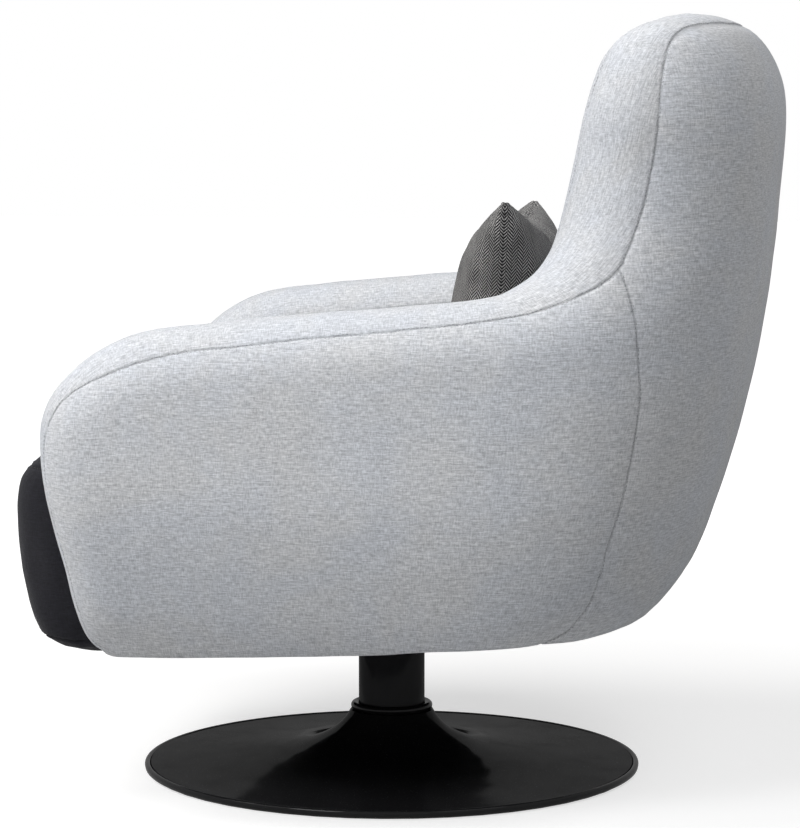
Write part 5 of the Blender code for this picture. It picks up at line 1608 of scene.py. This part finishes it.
CAMERA_PLACE = (3.7214, 0.6234, 0.799)
CAMERA_WAY = (-0.98143, -0.16185, -0.10299)
SENSOR_WIDTH = 36.0
FLOOR_REACH = 14.0
WHITE, BLACK = (1, 1, 1, 1), (0, 0, 0, 1)
LAMPS = (
    ("key", (0.8, -2.0, 2.9), (0, 0, 0.5), 1.8, (1.0, 0.99, 0.975)),
    ("fill", (2.8, -1.6, 2.8), (0, 0, 0.4), 1.4, (1.0, 1.0, 1.0)),
    ("rear", (0.9, 1.5, 3.2), (0, 0.2, 0.5), 1.6, (1.0, 1.0, 1.0)),
)


def lamp(name, power, place, target, size, colour):
    """A large soft lamp."""
    data = bpy.data.lights.new(name, "AREA")
    data.shape = "RECTANGLE"
    data.size = data.size_y = size
    data.energy = power
    data.color = colour
    made = placed(name, data)
    made.location = place
    made.rotation_euler = (Vector(target) - Vector(place)).to_track_quat("-Z", "Y").to_euler()


def seen_directly(n):
    """1 for rays from the camera and for those by way of gloss or glass."""
    path = n.node("LightPath")
    seen = n.math("MAXIMUM", path.outputs["Is Camera Ray"], path.outputs["Is Glossy Ray"])
    return n.math("MAXIMUM", seen, path.outputs["Is Transmission Ray"])


class ARMCHAIR_OT_stage(Operator):
    """Sets the floor, the lamps and the camera"""
    bl_idname = "armchair.stage"
    bl_label = "Stage"

    def execute(self, context):
        looks = context.scene.armchair_stage
        scene = context.scene
        mesh = bpy.data.meshes.new("floor")
        signs = ((-1, -1), (1, -1), (1, 1), (-1, 1))
        corners = [(x * FLOOR_REACH, y * FLOOR_REACH, -GAP) for x, y in signs]
        mesh.from_pydata(corners, [], [(0, 1, 2, 3)])
        floor = placed("floor", mesh)
        material, n, shader = new_material("studio_floor", Roughness=0.9, Specular_IOR_Level=0.1)
        shader.inputs["Emission Color"].default_value = WHITE
        mottle = n.noise(n.place(), 3.0, 3.0, 0.5)
        length = n.node("VectorMath", n.place(), operation="LENGTH").outputs["Value"]
        far = n.span(length, 0.5, 2.4, looks.floor_glow, 1.0)
        n.fill(
            shader,
            Base_Color=n.blend(mottle, tone(looks.floor_colour, 0.99), tone(looks.floor_colour, 1.01)),
            Emission_Strength=n.mul(seen_directly(n), far))
        mesh.materials.append(material)
        world = bpy.data.worlds.new("studio")
        scene.world = world
        world.use_nodes = True
        n = Nodes(world.node_tree)
        rise = n.parts(n.node("TexCoord").outputs["Generated"])[2]
        sky = n.math("MULTIPLY_ADD", n.span(rise, -0.1, 0.9), looks.zenith, looks.sky)
        shade = n.blend(seen_directly(n), n.blend(sky, BLACK, WHITE), WHITE)
        n.fill(world.node_tree.nodes["Background"], Color=shade)
        for name, *settings in LAMPS:
            lamp(f"{name}_lamp", getattr(looks, name), *settings)
        data = bpy.data.cameras.new("photo_camera")
        data.lens = looks.lens
        data.sensor_width = SENSOR_WIDTH
        camera = placed("photo_camera", data)
        camera.location = CAMERA_PLACE
        camera.rotation_mode = "QUATERNION"
        camera.rotation_quaternion = Vector(CAMERA_WAY).to_track_quat("-Z", "Y")
        scene.camera = camera
        scene.view_settings.view_transform = "Standard"
        return {"FINISHED"}


class ARMCHAIR_PT_pieces(Panel):
    """The armchair's pieces and their looks"""
    bl_idname = "ARMCHAIR_PT_pieces"
    bl_label = "Armchair"
    bl_space_type = "VIEW_3D"
    bl_region_type = "UI"
    bl_category = "Armchair"

    def draw(self, context):
        for owner, operators in LAYOUT.items():
            box = self.layout.box()
            looks = getattr(context.scene, owner)
            for name in looks.__annotations__:
                box.prop(looks, name)
            for made in operators:
                box.operator(made.bl_idname)


GROUPS = {
    "armchair_tub": TubLooks, "armchair_seat": SeatLooks, "armchair_pillow": PillowLooks,
    "armchair_base": BaseLooks, "armchair_stage": StageLooks,
}
LAYOUT = {
    "armchair_stage": (ARMCHAIR_OT_stage,),
    "armchair_base": (ARMCHAIR_OT_frame, ARMCHAIR_OT_base),
    "armchair_tub": (ARMCHAIR_OT_tub,),
    "armchair_seat": (ARMCHAIR_OT_seat,),
    "armchair_pillow": (ARMCHAIR_OT_pillow,),
}
OPERATORS = [made for operators in LAYOUT.values() for made in operators]
CLASSES = [*GROUPS.values(), *OPERATORS, ARMCHAIR_PT_pieces]


def register():
    """Registers the classes and puts the looks on the scene."""
    for made in CLASSES:
        bpy.utils.register_class(made)
    for name, kind in GROUPS.items():
        setattr(bpy.types.Scene, name, PointerProperty(type=kind))


def unregister():
    """Takes the looks and the classes away again."""
    for name in GROUPS:
        delattr(bpy.types.Scene, name)
    for made in reversed(CLASSES):
        bpy.utils.unregister_class(made)


def main():
    """Makes every piece in order."""
    register()
    bpy.ops.armchair.stage()
    bpy.ops.armchair.frame()
    bpy.ops.armchair.base()
    bpy.ops.armchair.tub()
    bpy.ops.armchair.seat()
    bpy.ops.armchair.pillow()


if __name__ == "__main__":
    main()
